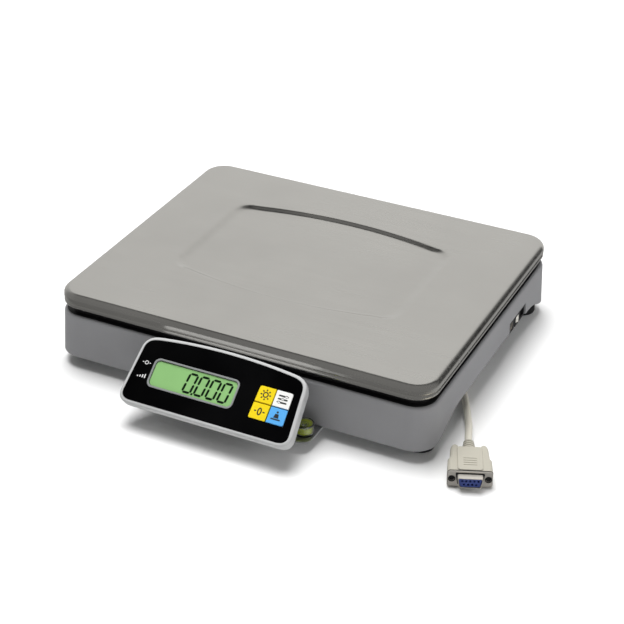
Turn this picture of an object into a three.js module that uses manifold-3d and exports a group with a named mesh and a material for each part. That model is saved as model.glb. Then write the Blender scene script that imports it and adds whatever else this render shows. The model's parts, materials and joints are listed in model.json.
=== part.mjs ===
// Bench-top shipping scale: a low load-cell base with a stainless weighing pan, a display unit on a
// bracket in front of it, four levelling feet and an RS-232 lead.
//
// Units are millimetres and +Z is up. Inside the machine group the weighing pan is centred on X = Y = 0
// and the floor is Z = 0. The outer group moves that so its origin is the middle of the footprint.

import * as THREE from 'three';
import { mergeVertices } from 'three/addons/utils/BufferGeometryUtils.js';
import Module from 'manifold-3d';

// ---------------------------------------------------------------- driving dimensions

const GAP = 0.3; // clearance between pieces that touch

const PAN_WIDTH = 300;
const PAN_DEPTH = 250;
const PAN_TOP = 62;
const PAN_SKIRT = 12.7;
const PAN_SHEET = 1.2;
const PAN_CORNER = 18;
const PAN_EDGE_ROUND = 2.5;
const PAN_HEM_ROUND = 3.5;
const PAN_CREASE = 4; // height of the crease above the pan's lower edge
const RECESS_DEPTH = 2;
const RECESS_HALF_WIDTH = 92.5;
const RECESS_HALF_DEPTH = 58;
const RECESS_BOW = 9;
const RECESS_CENTRE = [-1.5, 8];

const BASE_TOP = 47.3;
const BASE_BOTTOM = 10;
const BASE_DRAFT = 1.5; // how much each side has grown at the bottom edge
const BASE_WALL = 2.6;
const BASE_DECK = 3;
const BASE_RIM = 44.8; // top of the outer rim; the deck inside it is higher
const BASE_RIM_WIDTH = 7.3;
const BASE_SHOULDER = 2.2;
const ARCH_HEIGHT = 21;

const FLOOR_PLATE = [21, 22.5]; // the steel bottom plate's two faces
const FOOT_X = 136;
const FOOT_FRONT_Y = -102;
const FOOT_REAR_Y = 110;
const FOOT_RADIUS = 10.5;
const STUD_RADIUS = 4;

const CELL_LENGTH = 130;
const CELL_WIDTH = 30;
const CELL = [26, 46]; // the load cell's lower and upper faces
const CELL_BOLTS = [43, 57]; // distance of the bolts from the middle
const BOLT_RADIUS = 2.9;
const STOP_X = 50; // the overload stop stands under the cell's free end

const SPIDER = [49, 51];
const PAD_X = 105;
const PAD_Y = 78;

const DISPLAY_TILT = THREE.MathUtils.degToRad(39);
const DISPLAY_EDGE = [-176.8, 21.3]; // Y and Z of the face's lower edge
const DISPLAY_FRONT_DEPTH = 6.5;
const DISPLAY_DEPTH = 13.5;
const DISPLAY_WALL = 2.2;
const PIVOT_Y = -143;
const PIVOT_Z = 20.5;
const LUG_X = 40;

const LCD_CENTRE = [-16.5, 26.8];
const LCD_SIZE = [68.4, 22.3];
const LCD_RIM = 1.4;
const KEYPAD_CENTRE = [45.2, 26.6];
const KEY_PITCH = [13.1, 12.6];
const KEY_GAP = 0.8;
const KEY_FLARE = 0.45; // outward lean of the keypad's sides per key

const BRACKET = [8, 9.5];
const BRACKET_HALF_WIDTH = 70.5;
const BRACKET_FRONT = -150;
const LEVEL_AT = [62.3, -138];
const LEVEL_RADIUS = 7;

const SOCKET_Z = [19, 28.2];
const CABLE_RADIUS = 2.6;
const COIL_RADIUS = 31.2; // to the middle of the bundle
const COIL_CENTRE = [22.7, 170];
const COIL_TURNS_ACROSS = 3;
const COIL_TURNS_HIGH = 2;
const TIE_SHEET = 0.9;
const PLUG_BACK = [169, -94.2]; // where the lead enters the plug's strain relief
const PLUG_HEADING = THREE.MathUtils.degToRad(-67.5);
const PLUG_Z = 7.7;

// ---------------------------------------------------------------- materials

const finish = (color, roughness, metalness = 0, extra = {}) => () =>
  new THREE.MeshStandardMaterial({ color, roughness, metalness, ...extra });

const stainless = finish(0xb4b3ae, 0.38, 1);
const greyPlastic = finish(0x8d8d90, 0.55);
const silverPlastic = finish(0xc3c4c4, 0.45);
const steelSheet = finish(0xa9abad, 0.35, 1);
const boltSteel = finish(0x8a8c90, 0.35, 1);
const castAluminium = finish(0xb9bbbe, 0.45, 1);
const blackPlastic = finish(0x17181a, 0.5);
const glossBlack = finish(0x08080a, 0.12);
const blackRubber = finish(0x141416, 0.8);
const boardGreen = finish(0x1f5a36, 0.5);
const lcdGreen = finish(0x8cc87d, 0.3);
const keyYellow = finish(0xf2d62c, 0.4);
const keyWhite = finish(0xf0f0ee, 0.4);
const keyBlue = finish(0x5aaeea, 0.4);
const levelGreen = finish(0xb9bf38, 0.15);
const clearPlastic = finish(0xe8eee0, 0.05, 0, { transparent: true, opacity: 0.4 });
const bubbleClear = finish(0xf4f6dc, 0.05);
const cableBeige = finish(0xd9d6c6, 0.6);
const plugBlue = finish(0x2c3f86, 0.5);
const nickel = finish(0xcfccc6, 0.25, 1);
const switchIvory = finish(0xe6e4dc, 0.4);

// ---------------------------------------------------------------- shape helpers

const wasm = await Module();
wasm.setup();

function solid(geometry) {
  const bare = geometry.clone();
  bare.deleteAttribute('normal');
  bare.deleteAttribute('uv');
  const merged = mergeVertices(bare, 1e-4);
  return new wasm.Manifold(new wasm.Mesh({
    numProp: 3,
    vertProperties: new Float32Array(merged.attributes.position.array),
    triVerts: new Uint32Array(merged.index.array),
  }));
}

function geometryOf(body) {
  const mesh = body.getMesh();
  const geometry = new THREE.BufferGeometry();
  geometry.setAttribute('position', new THREE.BufferAttribute(mesh.vertProperties, 3));
  geometry.setIndex(new THREE.BufferAttribute(mesh.triVerts, 1));
  geometry.computeVertexNormals();
  return geometry;
}

const joined = (...geometries) => geometries.map(solid).reduce((all, one) => all.add(one));

function cut(body, ...geometries) {
  return geometries.map(solid).reduce((rest, one) => rest.subtract(one), body);
}

function roundedRect(width, depth, radius, x = 0, y = 0) {
  const shape = new THREE.Shape();
  const [w, d] = [width / 2 - radius, depth / 2 - radius];
  shape.moveTo(x + w + radius, y - d);
  shape.absarc(x + w, y + d, radius, 0, Math.PI / 2);
  shape.absarc(x - w, y + d, radius, Math.PI / 2, Math.PI);
  shape.absarc(x - w, y - d, radius, Math.PI, Math.PI * 1.5);
  shape.absarc(x + w, y - d, radius, Math.PI * 1.5, Math.PI * 2);
  return shape;
}

function polygon(points) {
  return new THREE.Shape(points.map(([x, y]) => new THREE.Vector2(x, y)));
}

function circle(radius, x = 0, y = 0) {
  return new THREE.Shape().absarc(x, y, radius, 0, Math.PI * 2);
}

// A flat piece between two heights, with its top and bottom edges rounded when round is given.
// An arc in the outline gets twice as many sides as curve says, and a Bezier gets as many.
function slab(shape, bottom, top, round = 0, curve = 3) {
  const geometry = new THREE.ExtrudeGeometry(shape, {
    depth: top - bottom - 2 * round,
    bevelEnabled: round > 0,
    bevelThickness: round,
    bevelSize: round,
    bevelOffset: -round,
    bevelSegments: 2,
    curveSegments: curve,
  });
  return geometry.translate(0, 0, bottom + round);
}

function block(x0, x1, y0, y1, z0, z1) {
  const geometry = new THREE.BoxGeometry(x1 - x0, y1 - y0, z1 - z0);
  return geometry.translate((x0 + x1) / 2, (y0 + y1) / 2, (z0 + z1) / 2);
}

function post(radius, x, y, z0, z1, sides = 16) {
  const geometry = new THREE.CylinderGeometry(radius, radius, z1 - z0, sides);
  return geometry.rotateX(Math.PI / 2).translate(x, y, (z0 + z1) / 2);
}

// Extrudes an outline drawn in (y, z) from x0 to x1.
function alongX(shape, x0, x1, curve = 3) {
  const geometry = new THREE.ExtrudeGeometry(shape, {
    depth: x1 - x0, bevelEnabled: false, curveSegments: curve,
  });
  const basis = new THREE.Matrix4().makeBasis(
    new THREE.Vector3(0, 1, 0), new THREE.Vector3(0, 0, 1), new THREE.Vector3(1, 0, 0));
  return geometry.applyMatrix4(basis).translate(x0, 0, 0);
}

function pinAlongX(radius, x0, x1, y, z, sides = 16) {
  return alongX(circle(radius, y, z), x0, x1, sides / 2);
}

function turned(profile, sides = 18) {
  const points = profile.map(([radius, z]) => new THREE.Vector2(radius, z));
  return new THREE.LatheGeometry(points, sides).rotateX(Math.PI / 2);
}

function tubeAlong(points, radius, steps, sides) {
  const path = new THREE.CatmullRomCurve3(points.map((p) => new THREE.Vector3(...p)), false, 'centripetal');
  return new THREE.ExtrudeGeometry(circle(radius), {
    steps, bevelEnabled: false, extrudePath: path, curveSegments: sides / 2,
  });
}

function place(parent, name, geometry, material) {
  const mesh = new THREE.Mesh(geometry, material());
  mesh.name = name;
  parent.add(mesh);
  return mesh;
}

// ---------------------------------------------------------------- weighing pan

function recessOutline(grow) {
  const [cx, cy] = RECESS_CENTRE;
  const w = RECESS_HALF_WIDTH + grow;
  const d = RECESS_HALF_DEPTH + grow;
  const r = 15;
  const shape = new THREE.Shape();
  shape.moveTo(cx - w + r, cy - d);
  shape.quadraticCurveTo(cx, cy - d - 2 * RECESS_BOW, cx + w - r, cy - d);
  shape.quadraticCurveTo(cx + w, cy - d + 1, cx + w, cy - d + r);
  shape.lineTo(cx + w, cy + d - r);
  shape.quadraticCurveTo(cx + w, cy + d - 1, cx + w - r, cy + d);
  shape.quadraticCurveTo(cx, cy + d + 2 * RECESS_BOW, cx - w + r, cy + d);
  shape.quadraticCurveTo(cx - w, cy + d - 1, cx - w, cy + d - r);
  shape.lineTo(cx - w, cy - d + r);
  shape.quadraticCurveTo(cx - w, cy - d + 1, cx - w + r, cy - d);
  return shape;
}

function panOutline(inset) {
  return roundedRect(PAN_WIDTH - 2 * inset, PAN_DEPTH - 2 * inset, PAN_CORNER - inset);
}

function makePan() {
  const bottom = PAN_TOP - PAN_SKIRT;
  const [upperStart, lowerEnd] = [bottom + PAN_CREASE - 1.3, PAN_TOP - PAN_CREASE];
  // Two slabs that overlap give the top edge and the hem rounds of different size.
  const skin = joined(
    slab(panOutline(0), upperStart, PAN_TOP, PAN_EDGE_ROUND),
    slab(panOutline(0), bottom, lowerEnd, PAN_HEM_ROUND));
  const dishFloor = PAN_TOP - RECESS_DEPTH;
  const dished = cut(skin, slab(recessOutline(0), dishFloor, PAN_TOP + 6, 1.8, 6));
  const dishUnderside = slab(recessOutline(PAN_SHEET), dishFloor - PAN_SHEET, PAN_TOP + 6, 1.8, 6);
  const hollow = solid(slab(panOutline(PAN_SHEET), bottom + PAN_SHEET, PAN_TOP - PAN_SHEET, 1.3))
    .subtract(solid(dishUnderside));
  const mouth = slab(panOutline(PAN_HEM_ROUND + 1), bottom - 1, bottom + PAN_SHEET + 2);
  return geometryOf(cut(dished.subtract(hollow), mouth));
}

// ---------------------------------------------------------------- base

// Widens a shell towards the floor, as a moulding's draft does.
function drafted(geometry) {
  const position = geometry.attributes.position;
  for (let i = 0; i < position.count; i += 1) {
    const growth = BASE_DRAFT * (BASE_TOP - position.getZ(i)) / (BASE_TOP - BASE_BOTTOM);
    position.setX(i, position.getX(i) * (1 + growth / (PAN_WIDTH / 2)));
    position.setY(i, position.getY(i) * (1 + growth / (PAN_DEPTH / 2)));
  }
  return geometry;
}

function baseOutline(inset) {
  return roundedRect(PAN_WIDTH - 2 * inset, PAN_DEPTH - 2 * inset, PAN_CORNER - inset);
}

// The lower edge rises in an arch along each side, for fingers and cables.
function sideArch() {
  const shape = new THREE.Shape();
  shape.moveTo(-108, BASE_BOTTOM - 6);
  shape.lineTo(-108, BASE_BOTTOM);
  shape.bezierCurveTo(-96, BASE_BOTTOM, -86, ARCH_HEIGHT, -64, ARCH_HEIGHT);
  shape.bezierCurveTo(-10, ARCH_HEIGHT + 0.6, 50, ARCH_HEIGHT + 0.4, 86, ARCH_HEIGHT - 2.5);
  shape.bezierCurveTo(98, ARCH_HEIGHT - 4.5, 102, BASE_BOTTOM, 114, BASE_BOTTOM);
  shape.lineTo(114, BASE_BOTTOM - 6);
  return alongX(shape, -160, 160, 8);
}

const BOSS_X = 50; // the two blocks that the bracket is screwed to
const SOCKET_SPANS = [[37.5, 49.1], [50.7, 60.3], [61.3, 71.3]]; // Y of the jack, switch and data socket

function makeHousing() {
  const start = BASE_BOTTOM - 8; // below the lower edge, which is cut level afterwards
  const shell = joined(
    drafted(slab(baseOutline(0), start, BASE_RIM, BASE_SHOULDER)),
    slab(baseOutline(BASE_RIM_WIDTH), BASE_BOTTOM + 20, BASE_TOP, 0.6));
  const cavity = drafted(slab(baseOutline(BASE_WALL), start, BASE_RIM - BASE_WALL));
  const upperCavity = slab(baseOutline(BASE_RIM_WIDTH + BASE_WALL), BASE_BOTTOM + 20, BASE_TOP - BASE_DECK);
  const below = block(-170, 170, -150, 150, BASE_BOTTOM - 20, BASE_BOTTOM);
  const deckOpening = slab(roundedRect(142, 44, 8), BASE_TOP - BASE_DECK - 3, BASE_TOP + 3);
  const socketNotch = block(144, 160, 36, 72, BASE_BOTTOM - 2, SOCKET_Z[1] + 1);
  const socketPanel = block(145.4, 148.8, 33, 75, SOCKET_Z[0] - 1.6, SOCKET_Z[1] + 5);
  const socketWays = SOCKET_SPANS.map(([y0, y1]) => (
    block(144, 152, y0 - GAP, y1 + GAP, SOCKET_Z[0] - GAP, SOCKET_Z[1] + GAP)));
  const opened = cut(shell, cavity, upperCavity, below, deckOpening, sideArch(), socketNotch);
  const walls = cut(opened.add(solid(socketPanel)), ...socketWays);
  const bosses = [-1, 1].map((side) => {
    const x = side * BOSS_X;
    return cut(
      solid(block(x - 6, x + 6, -124.5, -106, BRACKET[1] + GAP, FLOOR_PLATE[0] - GAP)),
      post(1.6, x, -114, BRACKET[1] - 1, 19, 12));
  });
  return geometryOf(bosses.reduce((all, boss) => all.add(boss), walls));
}

const cornerSigns = [
  [-1, -1, 'front_left'], [1, -1, 'front_right'], [-1, 1, 'rear_left'], [1, 1, 'rear_right'],
];

function footPlace(sx, sy) {
  return [sx * FOOT_X, sy < 0 ? FOOT_FRONT_Y : FOOT_REAR_Y];
}

function boltHole(x, z0, z1) {
  return post(BOLT_RADIUS + 0.4, x, 0, z0, z1);
}

function makeBottomPlate() {
  const [low, high] = FLOOR_PLATE;
  const plate = slab(roundedRect(291, 241, 14), low, high);
  const footBosses = cornerSigns.map(([sx, sy]) => post(6.5, ...footPlace(sx, sy), high - 0.5, high + 8));
  const boardPosts = [[-116, 44], [-24, 44], [-116, 96], [-24, 96]]
    .map(([x, y]) => post(3, x, y, high - 0.5, high + 3.2, 12));
  const body = joined(plate, ...footBosses, ...boardPosts);
  const studHoles = cornerSigns.map(([sx, sy]) => (
    post(STUD_RADIUS + GAP, ...footPlace(sx, sy), low - 1, high + 9)));
  const boltHoles = [-CELL_BOLTS[0], -CELL_BOLTS[1], STOP_X].map((x) => boltHole(x, low - 1, high + 1));
  const socketNotch = block(130, 150, 32, 76, low - 1, high + 1);
  return geometryOf(cut(body, ...studHoles, ...boltHoles, socketNotch));
}

function makeLoadCell() {
  const [low, high] = CELL;
  const middle = (low + high) / 2;
  const bar = solid(block(-CELL_LENGTH / 2, CELL_LENGTH / 2, -CELL_WIDTH / 2, CELL_WIDTH / 2, low, high));
  const eye = (x) => new THREE.CylinderGeometry(7, 7, CELL_WIDTH + 2, 24).translate(x, 0, middle);
  const slot = block(-13, 13, -CELL_WIDTH, CELL_WIDTH, middle - 1.5, middle + 1.5);
  const lowerHoles = CELL_BOLTS.map((x) => boltHole(-x, low - 1, low + 13));
  const upperHoles = CELL_BOLTS.map((x) => boltHole(x, high - 13, high + 1));
  return geometryOf(cut(bar, eye(-13), eye(13), slot, ...lowerHoles, ...upperHoles));
}

function makeCellSpacer(side, low, high) {
  const [x0, x1] = side < 0 ? [-CELL_LENGTH / 2, -37] : [37, CELL_LENGTH / 2];
  const plate = solid(block(x0, x1, -CELL_WIDTH / 2, CELL_WIDTH / 2, low, high));
  return geometryOf(cut(plate, ...CELL_BOLTS.map((x) => boltHole(side * x, low - 1, high + 1))));
}

// A hexagon-head bolt; the head is at the end given first.
function hexBolt(headFace, shankStart, shankEnd, headRadius = 5) {
  const [h0, h1] = [Math.min(headFace, shankStart), Math.max(headFace, shankStart)];
  const [s0, s1] = [Math.min(shankStart, shankEnd) - 0.2, Math.max(shankStart, shankEnd)];
  return geometryOf(joined(
    post(headRadius, 0, 0, h0, h1, 6),
    post(BOLT_RADIUS, 0, 0, headFace < shankEnd ? s0 : s0 + 0.2, headFace < shankEnd ? s1 : s1 + 0.2, 16)));
}

function makeMainBoard() {
  const low = FLOOR_PLATE[1] + 3.5;
  return geometryOf(joined(
    block(-120, -20, 40, 100, low, low + 1.6),
    block(-80, -62, 60, 78, low + 1.5, low + 4),
    block(-112, -98, 52, 70, low + 1.5, low + 10),
    block(-48, -30, 46, 56, low + 1.5, low + 8),
    post(4, -50, 82, low + 1.5, low + 11, 16)));
}

function makePowerJack() {
  const middle = (SOCKET_Z[0] + SOCKET_Z[1]) / 2;
  const body = solid(block(134, 150.2, ...SOCKET_SPANS[0], ...SOCKET_Z));
  const bore = pinAlongX(3.6, 139, 151, 43.3, middle, 20);
  const contact = pinAlongX(1, 138.5, 149.2, 43.3, middle, 10);
  return geometryOf(cut(body, bore).add(solid(contact)));
}

function makeSwitchFrame() {
  const body = solid(block(136, 150.3, ...SOCKET_SPANS[1], ...SOCKET_Z));
  return geometryOf(cut(body, block(140, 151, 51.9, 59.1, SOCKET_Z[0] + 1.2, SOCKET_Z[1] - 1.2)));
}

const ROCKER_AXIS = [146, 55.5]; // X and Y of the rocker's pivot, which is upright
const ROCKER_REST = THREE.MathUtils.degToRad(-9);

function makeRocker() {
  const outline = polygon([
    [-4, -2.3], [2.2, -2.4], [4.1, -2.7], [3.4, 0], [4.1, 2.7], [2.2, 2.4], [-4, 2.3],
  ]);
  return slab(outline, SOCKET_Z[0] + 1.5, SOCKET_Z[1] - 1.5);
}

function makeDataSocket() {
  const body = solid(block(136, 150.1, ...SOCKET_SPANS[2], ...SOCKET_Z));
  return geometryOf(cut(body, block(140, 151, 62.4, 70.2, SOCKET_Z[0] + 2, SOCKET_Z[1] - 1.2)));
}

// ---------------------------------------------------------------- display bracket and spirit level

function makeBracket() {
  const [low, high] = BRACKET;
  const rear = -104;
  const width = 2 * BRACKET_HALF_WIDTH;
  const plate = roundedRect(width, rear - BRACKET_FRONT, 8, 0, (rear + BRACKET_FRONT) / 2);
  const earAt = (x) => {
    const outline = new THREE.Shape();
    outline.moveTo(PIVOT_Y - 5, high - 0.5);
    outline.lineTo(PIVOT_Y + 5, high - 0.5);
    outline.lineTo(PIVOT_Y + 5, PIVOT_Z);
    outline.absarc(PIVOT_Y, PIVOT_Z, 5, 0, Math.PI);
    return alongX(outline, x - 0.75, x + 0.75, 5);
  };
  const earX = LUG_X + 2 + GAP + 0.75;
  const body = joined(slab(plate, low, high), earAt(-earX), earAt(earX));
  return geometryOf(cut(
    body,
    pinAlongX(2.3, -60, 60, PIVOT_Y, PIVOT_Z),
    post(1.9, -BOSS_X, -114, low - 1, high + 1, 12),
    post(1.9, BOSS_X, -114, low - 1, high + 1, 12)));
}

function makeBracketScrew() {
  const [crown, seat] = [BRACKET[0] - 2.3, BRACKET[0] - GAP];
  return geometryOf(joined(
    turned([[0, crown], [2.4, crown], [3.4, seat], [0, seat]], 16),
    post(1.3, 0, 0, BRACKET[0] - 0.5, 18, 12)));
}

// The tilt screws run along X; side is +1 on the right.
function makePivotScrew(side) {
  const inner = LUG_X - 2.5;
  const face = LUG_X + 2 + GAP + 1.5 + GAP;
  const shank = side > 0 ? [inner, face + 0.2] : [-face - 0.2, -inner];
  const head = side > 0 ? [face, face + 2.6] : [-face - 2.6, -face];
  return geometryOf(joined(
    pinAlongX(2, ...shank, PIVOT_Y, PIVOT_Z),
    pinAlongX(3.8, ...head, PIVOT_Y, PIVOT_Z, 20)));
}

const LEVEL_WALL = 0.9;
const LEVEL_FLOOR = 1.2;

function makeLevelCup() {
  const foot = BRACKET[1] + GAP;
  return turned([
    [0, foot], [LEVEL_RADIUS, foot], [LEVEL_RADIUS, foot + 8.4], [LEVEL_RADIUS - LEVEL_WALL, foot + 8.4],
    [LEVEL_RADIUS - LEVEL_WALL, foot + LEVEL_FLOOR], [0, foot + LEVEL_FLOOR],
  ]);
}

const LEVEL_LIQUID = [BRACKET[1] + GAP + LEVEL_FLOOR + GAP, 16.3]; // its lower and upper faces
const LEVEL_INSIDE_RADIUS = LEVEL_RADIUS - LEVEL_WALL - GAP;

function makeLevelLiquid() {
  const [low, top] = LEVEL_LIQUID;
  return turned([
    [0, low], [LEVEL_INSIDE_RADIUS, low], [LEVEL_INSIDE_RADIUS, top],
    [2.3, top], [1.6, top - 0.7], [0, top - 0.9],
  ]);
}

function makeLevelBubble() {
  const top = LEVEL_LIQUID[1];
  return turned([[0, top - 0.6], [1.2, top - 0.4], [1.8, top], [0, top]], 16);
}

function makeLevelLens() {
  const low = LEVEL_LIQUID[1] + GAP;
  const radius = LEVEL_INSIDE_RADIUS;
  return turned([[0, low], [radius, low], [radius, low + 1.2], [radius * 0.6, low + 1.7], [0, low + 1.9]]);
}

// ---------------------------------------------------------------- display unit
// Drawn with X to the right, Y up the slope from the lower edge, and the face at Z = 0.

function displayOutline(inset) {
  const shape = new THREE.Shape();
  const i = inset;
  const side = (y) => 68.6 - 0.075 * y - i;
  const shoulder = 53.2 - i;
  shape.moveTo(-58 + i * 0.4, i);
  shape.lineTo(58 - i * 0.4, i);
  shape.bezierCurveTo(64, i, side(3), 3 + i, side(10), 10);
  shape.lineTo(side(42), 42);
  shape.bezierCurveTo(side(48), 48, 61.5 - i, shoulder - 0.9, 53 - i * 0.4, shoulder);
  shape.quadraticCurveTo(0, shoulder + 6.2, -53 + i * 0.4, shoulder);
  shape.bezierCurveTo(-61.5 + i, shoulder - 0.9, -side(48), 48, -side(42), 42);
  shape.lineTo(-side(10), 10);
  shape.bezierCurveTo(-side(3), 3 + i, -64, i, -58 + i * 0.4, i);
  return shape;
}

const SCREWS_AT = [[-57, 8], [57, 8]];
const OVERLAY_RECESS = 1.1;

function keypadOutline(grow) {
  const [cx, cy] = KEYPAD_CENTRE;
  const half = KEY_PITCH[0] + grow;
  const tall = KEY_PITCH[1] - KEY_GAP / 2 + grow;
  return polygon([
    [cx - half - KEY_FLARE, cy - tall], [cx + half + KEY_FLARE, cy - tall],
    [cx + half - KEY_FLARE, cy + tall], [cx - half + KEY_FLARE, cy + tall],
  ]);
}

function lcdOutline(inset) {
  return roundedRect(LCD_SIZE[0] - 2 * inset, LCD_SIZE[1] - 2 * inset, 4.6 - inset * 0.8, ...LCD_CENTRE);
}

function makeDisplayFront() {
  const deep = -DISPLAY_FRONT_DEPTH;
  const shell = solid(slab(displayOutline(0), deep - 3, 0, 1.8, 6));
  const frame = cut(
    shell,
    block(-90, 90, -20, 80, deep - 10, deep),
    slab(displayOutline(DISPLAY_WALL), deep - 1, -2.9, 0, 6),
    slab(displayOutline(2.4), -OVERLAY_RECESS, 2, 0, 6),
    slab(lcdOutline(-GAP), -5, 1),
    slab(keypadOutline(GAP), -5, 1));
  const bosses = SCREWS_AT.map(([x, y]) => (
    cut(solid(post(3, x, y, deep, -2.5, 14)), post(1.6, x, y, deep - 1, -3.4, 12))));
  return geometryOf(bosses.reduce((all, boss) => all.add(boss), frame));
}

function makeDisplayRear() {
  const seam = -DISPLAY_FRONT_DEPTH - GAP;
  const shell = solid(slab(displayOutline(0.8), -DISPLAY_DEPTH, seam + 5, 4.2, 6));
  const lug = (x) => {
    const local = pivotInDisplay();
    const outline = new THREE.Shape();
    outline.moveTo(local.y + 4.5, -DISPLAY_DEPTH + 1.2);
    outline.lineTo(local.y - 4.5, -DISPLAY_DEPTH + 1.2);
    outline.lineTo(local.y - 4.5, local.z);
    outline.absarc(local.y, local.z, 4.5, Math.PI, Math.PI * 2);
    return cut(solid(alongX(outline, x - 2, x + 2, 5)), pinAlongX(2.3, x - 4, x + 4, local.y, local.z));
  };
  const open = cut(
    shell,
    block(-90, 90, -20, 80, seam, seam + 20),
    slab(displayOutline(DISPLAY_WALL + 0.8), -DISPLAY_DEPTH + 1.7, seam + 5, 2.4, 6));
  const bosses = SCREWS_AT.map(([x, y]) => joined(
    post(4, x, y, -DISPLAY_DEPTH + 1, -DISPLAY_DEPTH + 4.4),
    post(3.2, x, y, -DISPLAY_DEPTH + 4, seam - 0.2)));
  const filled = [...bosses, lug(-LUG_X), lug(LUG_X)].reduce((all, one) => all.add(one), open);
  const screwWays = SCREWS_AT.flatMap(([x, y]) => [
    post(1.6, x, y, -DISPLAY_DEPTH - 1, seam + 1, 12),
    post(2.9, x, y, -DISPLAY_DEPTH - 1, -DISPLAY_DEPTH + 3.6, 16),
  ]);
  return geometryOf(cut(filled, ...screwWays));
}

function makeCoverScrew() {
  const seat = -DISPLAY_DEPTH + 3.6 + GAP - 2.4;
  return geometryOf(joined(post(2.5, 0, 0, seat, seat + 1.8, 16), post(1.2, 0, 0, seat + 1.6, -3.9, 12)));
}

function makeOverlay() {
  const sheet = solid(slab(displayOutline(2.4 + GAP), -OVERLAY_RECESS + GAP, -0.05, 0, 6));
  return geometryOf(cut(sheet, slab(lcdOutline(-GAP), -3, 1), slab(keypadOutline(GAP), -3, 1)));
}

function makeLcdRim() {
  const ring = solid(slab(lcdOutline(0), -2.9, 0.15));
  return geometryOf(cut(ring, slab(lcdOutline(LCD_RIM), -4, 2)));
}

// One key of the two-by-two keypad; column and row are -1 or +1, row +1 being the upper one.
function makeKey(column, row) {
  const [pitchX, pitchY] = KEY_PITCH;
  const inner = KEY_GAP / 2;
  const near = row > 0 ? pitchX : pitchX + KEY_FLARE;
  const far = row > 0 ? pitchX - KEY_FLARE : pitchX;
  const lower = row > 0 ? inner : -pitchY + inner;
  const upper = lower + pitchY - KEY_GAP;
  const r = 1.7;
  const shape = new THREE.Shape();
  if (row > 0) {
    shape.moveTo(inner, lower);
    shape.lineTo(near, lower);
    shape.lineTo(far + 0.06 * r, upper - r);
    shape.quadraticCurveTo(far, upper, far - r, upper);
    shape.lineTo(inner, upper);
  } else {
    shape.moveTo(inner, lower);
    shape.lineTo(near - r, lower);
    shape.quadraticCurveTo(near, lower, near - 0.06 * r, lower + r);
    shape.lineTo(far, upper);
    shape.lineTo(inner, upper);
  }
  const points = shape.getPoints(5).map((p) => [column * p.x, p.y]);
  const outline = polygon(column < 0 ? points.reverse() : points);
  return slab(outline, -2.5, 0.3).translate(...KEYPAD_CENTRE, 0);
}

// The glass and the lightbox behind it are one clipped module.
function makeLcdPanel() {
  const [cx, cy] = LCD_CENTRE;
  const glass = slab(lcdOutline(LCD_RIM + GAP), -3.4, -0.9);
  return geometryOf(joined(glass, block(cx - 33, cx + 33, cy - 10, cy + 10, -5.6, -3.2)));
}

function makeDisplayBoard() {
  return geometryOf(cut(
    joined(
      block(-50, 60, 12, 45, -8, -6.4),
      block(-30, -12, 18, 32, -9.8, -7.9),
      block(20, 34, 30, 42, -9.6, -7.9)),
    post(0.9, -46, 41, -12, -5, 10)));
}

const display = new THREE.Group();
display.rotation.x = DISPLAY_TILT;
display.position.set(0, DISPLAY_EDGE[0], DISPLAY_EDGE[1]);

function pivotInDisplay() {
  display.updateMatrix();
  return new THREE.Vector3(0, PIVOT_Y, PIVOT_Z).applyMatrix4(display.matrix.clone().invert());
}

// ---------------------------------------------------------------- platform support

function makeSpider() {
  const [low, high] = SPIDER;
  const hub = slab(roundedRect(150, 60, 8), low, high);
  const reach = Math.hypot(PAD_X, PAD_Y);
  const lean = Math.atan2(PAD_Y, PAD_X);
  const arms = [lean, -lean].map((angle) => block(-reach, reach, -13, 13, low, high).rotateZ(angle));
  const ends = cornerSigns.map(([sx, sy]) => post(14, sx * PAD_X, sy * PAD_Y, low, high));
  const body = joined(hub, ...arms, ...ends);
  return geometryOf(cut(body, ...CELL_BOLTS.map((x) => boltHole(x, low - 1, high + 1))));
}

function makePanPad() {
  const low = SPIDER[1] + GAP;
  const high = PAN_TOP - PAN_SHEET - GAP;
  return turned([[0, low], [9.5, low], [9.5, low + 2], [7.4, low + 3], [6.8, high], [0, high]], 16);
}

// ---------------------------------------------------------------- feet

const PAD_SOCKET = 3;

function makeFootPad() {
  const r = FOOT_RADIUS;
  return turned([
    [0, 0], [r - 1.2, 0], [r, 1.4], [r, 5.6], [7.2, 7.4], [6.6, 9],
    [STUD_RADIUS + GAP, 9], [STUD_RADIUS + GAP, PAD_SOCKET], [0, PAD_SOCKET],
  ], 24);
}

function makeFootStud() {
  return turned([
    [0, PAD_SOCKET + GAP], [STUD_RADIUS, PAD_SOCKET + GAP], [STUD_RADIUS, 33],
    [STUD_RADIUS - 0.9, 34], [0, 34],
  ], 16);
}

// ---------------------------------------------------------------- RS-232 lead

const GLAND_FACE = [-13.7, 74]; // where the lead leaves the gland, heading to the rear
const GLAND_Z = 14;

function makeGland() {
  const [x, y] = GLAND_FACE;
  const nose = turned([[0, 0], [4.6, 0], [4.6, 3], [3.2, 20], [0, 20]], 20).rotateX(-Math.PI / 2);
  nose.translate(x, y - 20, GLAND_Z);
  return geometryOf(joined(block(x - 6, x + 6, y - 28, y - 19.5, 8.5, FLOOR_PLATE[0] - GAP), nose));
}

const COIL_HALF_WIDTH = COIL_TURNS_ACROSS * CABLE_RADIUS;
const COIL_LOW = TIE_SHEET + GAP + 0.1;
const COIL_HIGH = COIL_LOW + COIL_TURNS_HIGH * 2 * CABLE_RADIUS;
const LANE = COIL_RADIUS + COIL_HALF_WIDTH - CABLE_RADIUS; // the outermost turn
const COIL_APPROACH = 20.5; // how far short of the coil's middle the straight leads stop
const FLOOR_CABLE_Z = CABLE_RADIUS + 0.1;

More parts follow.
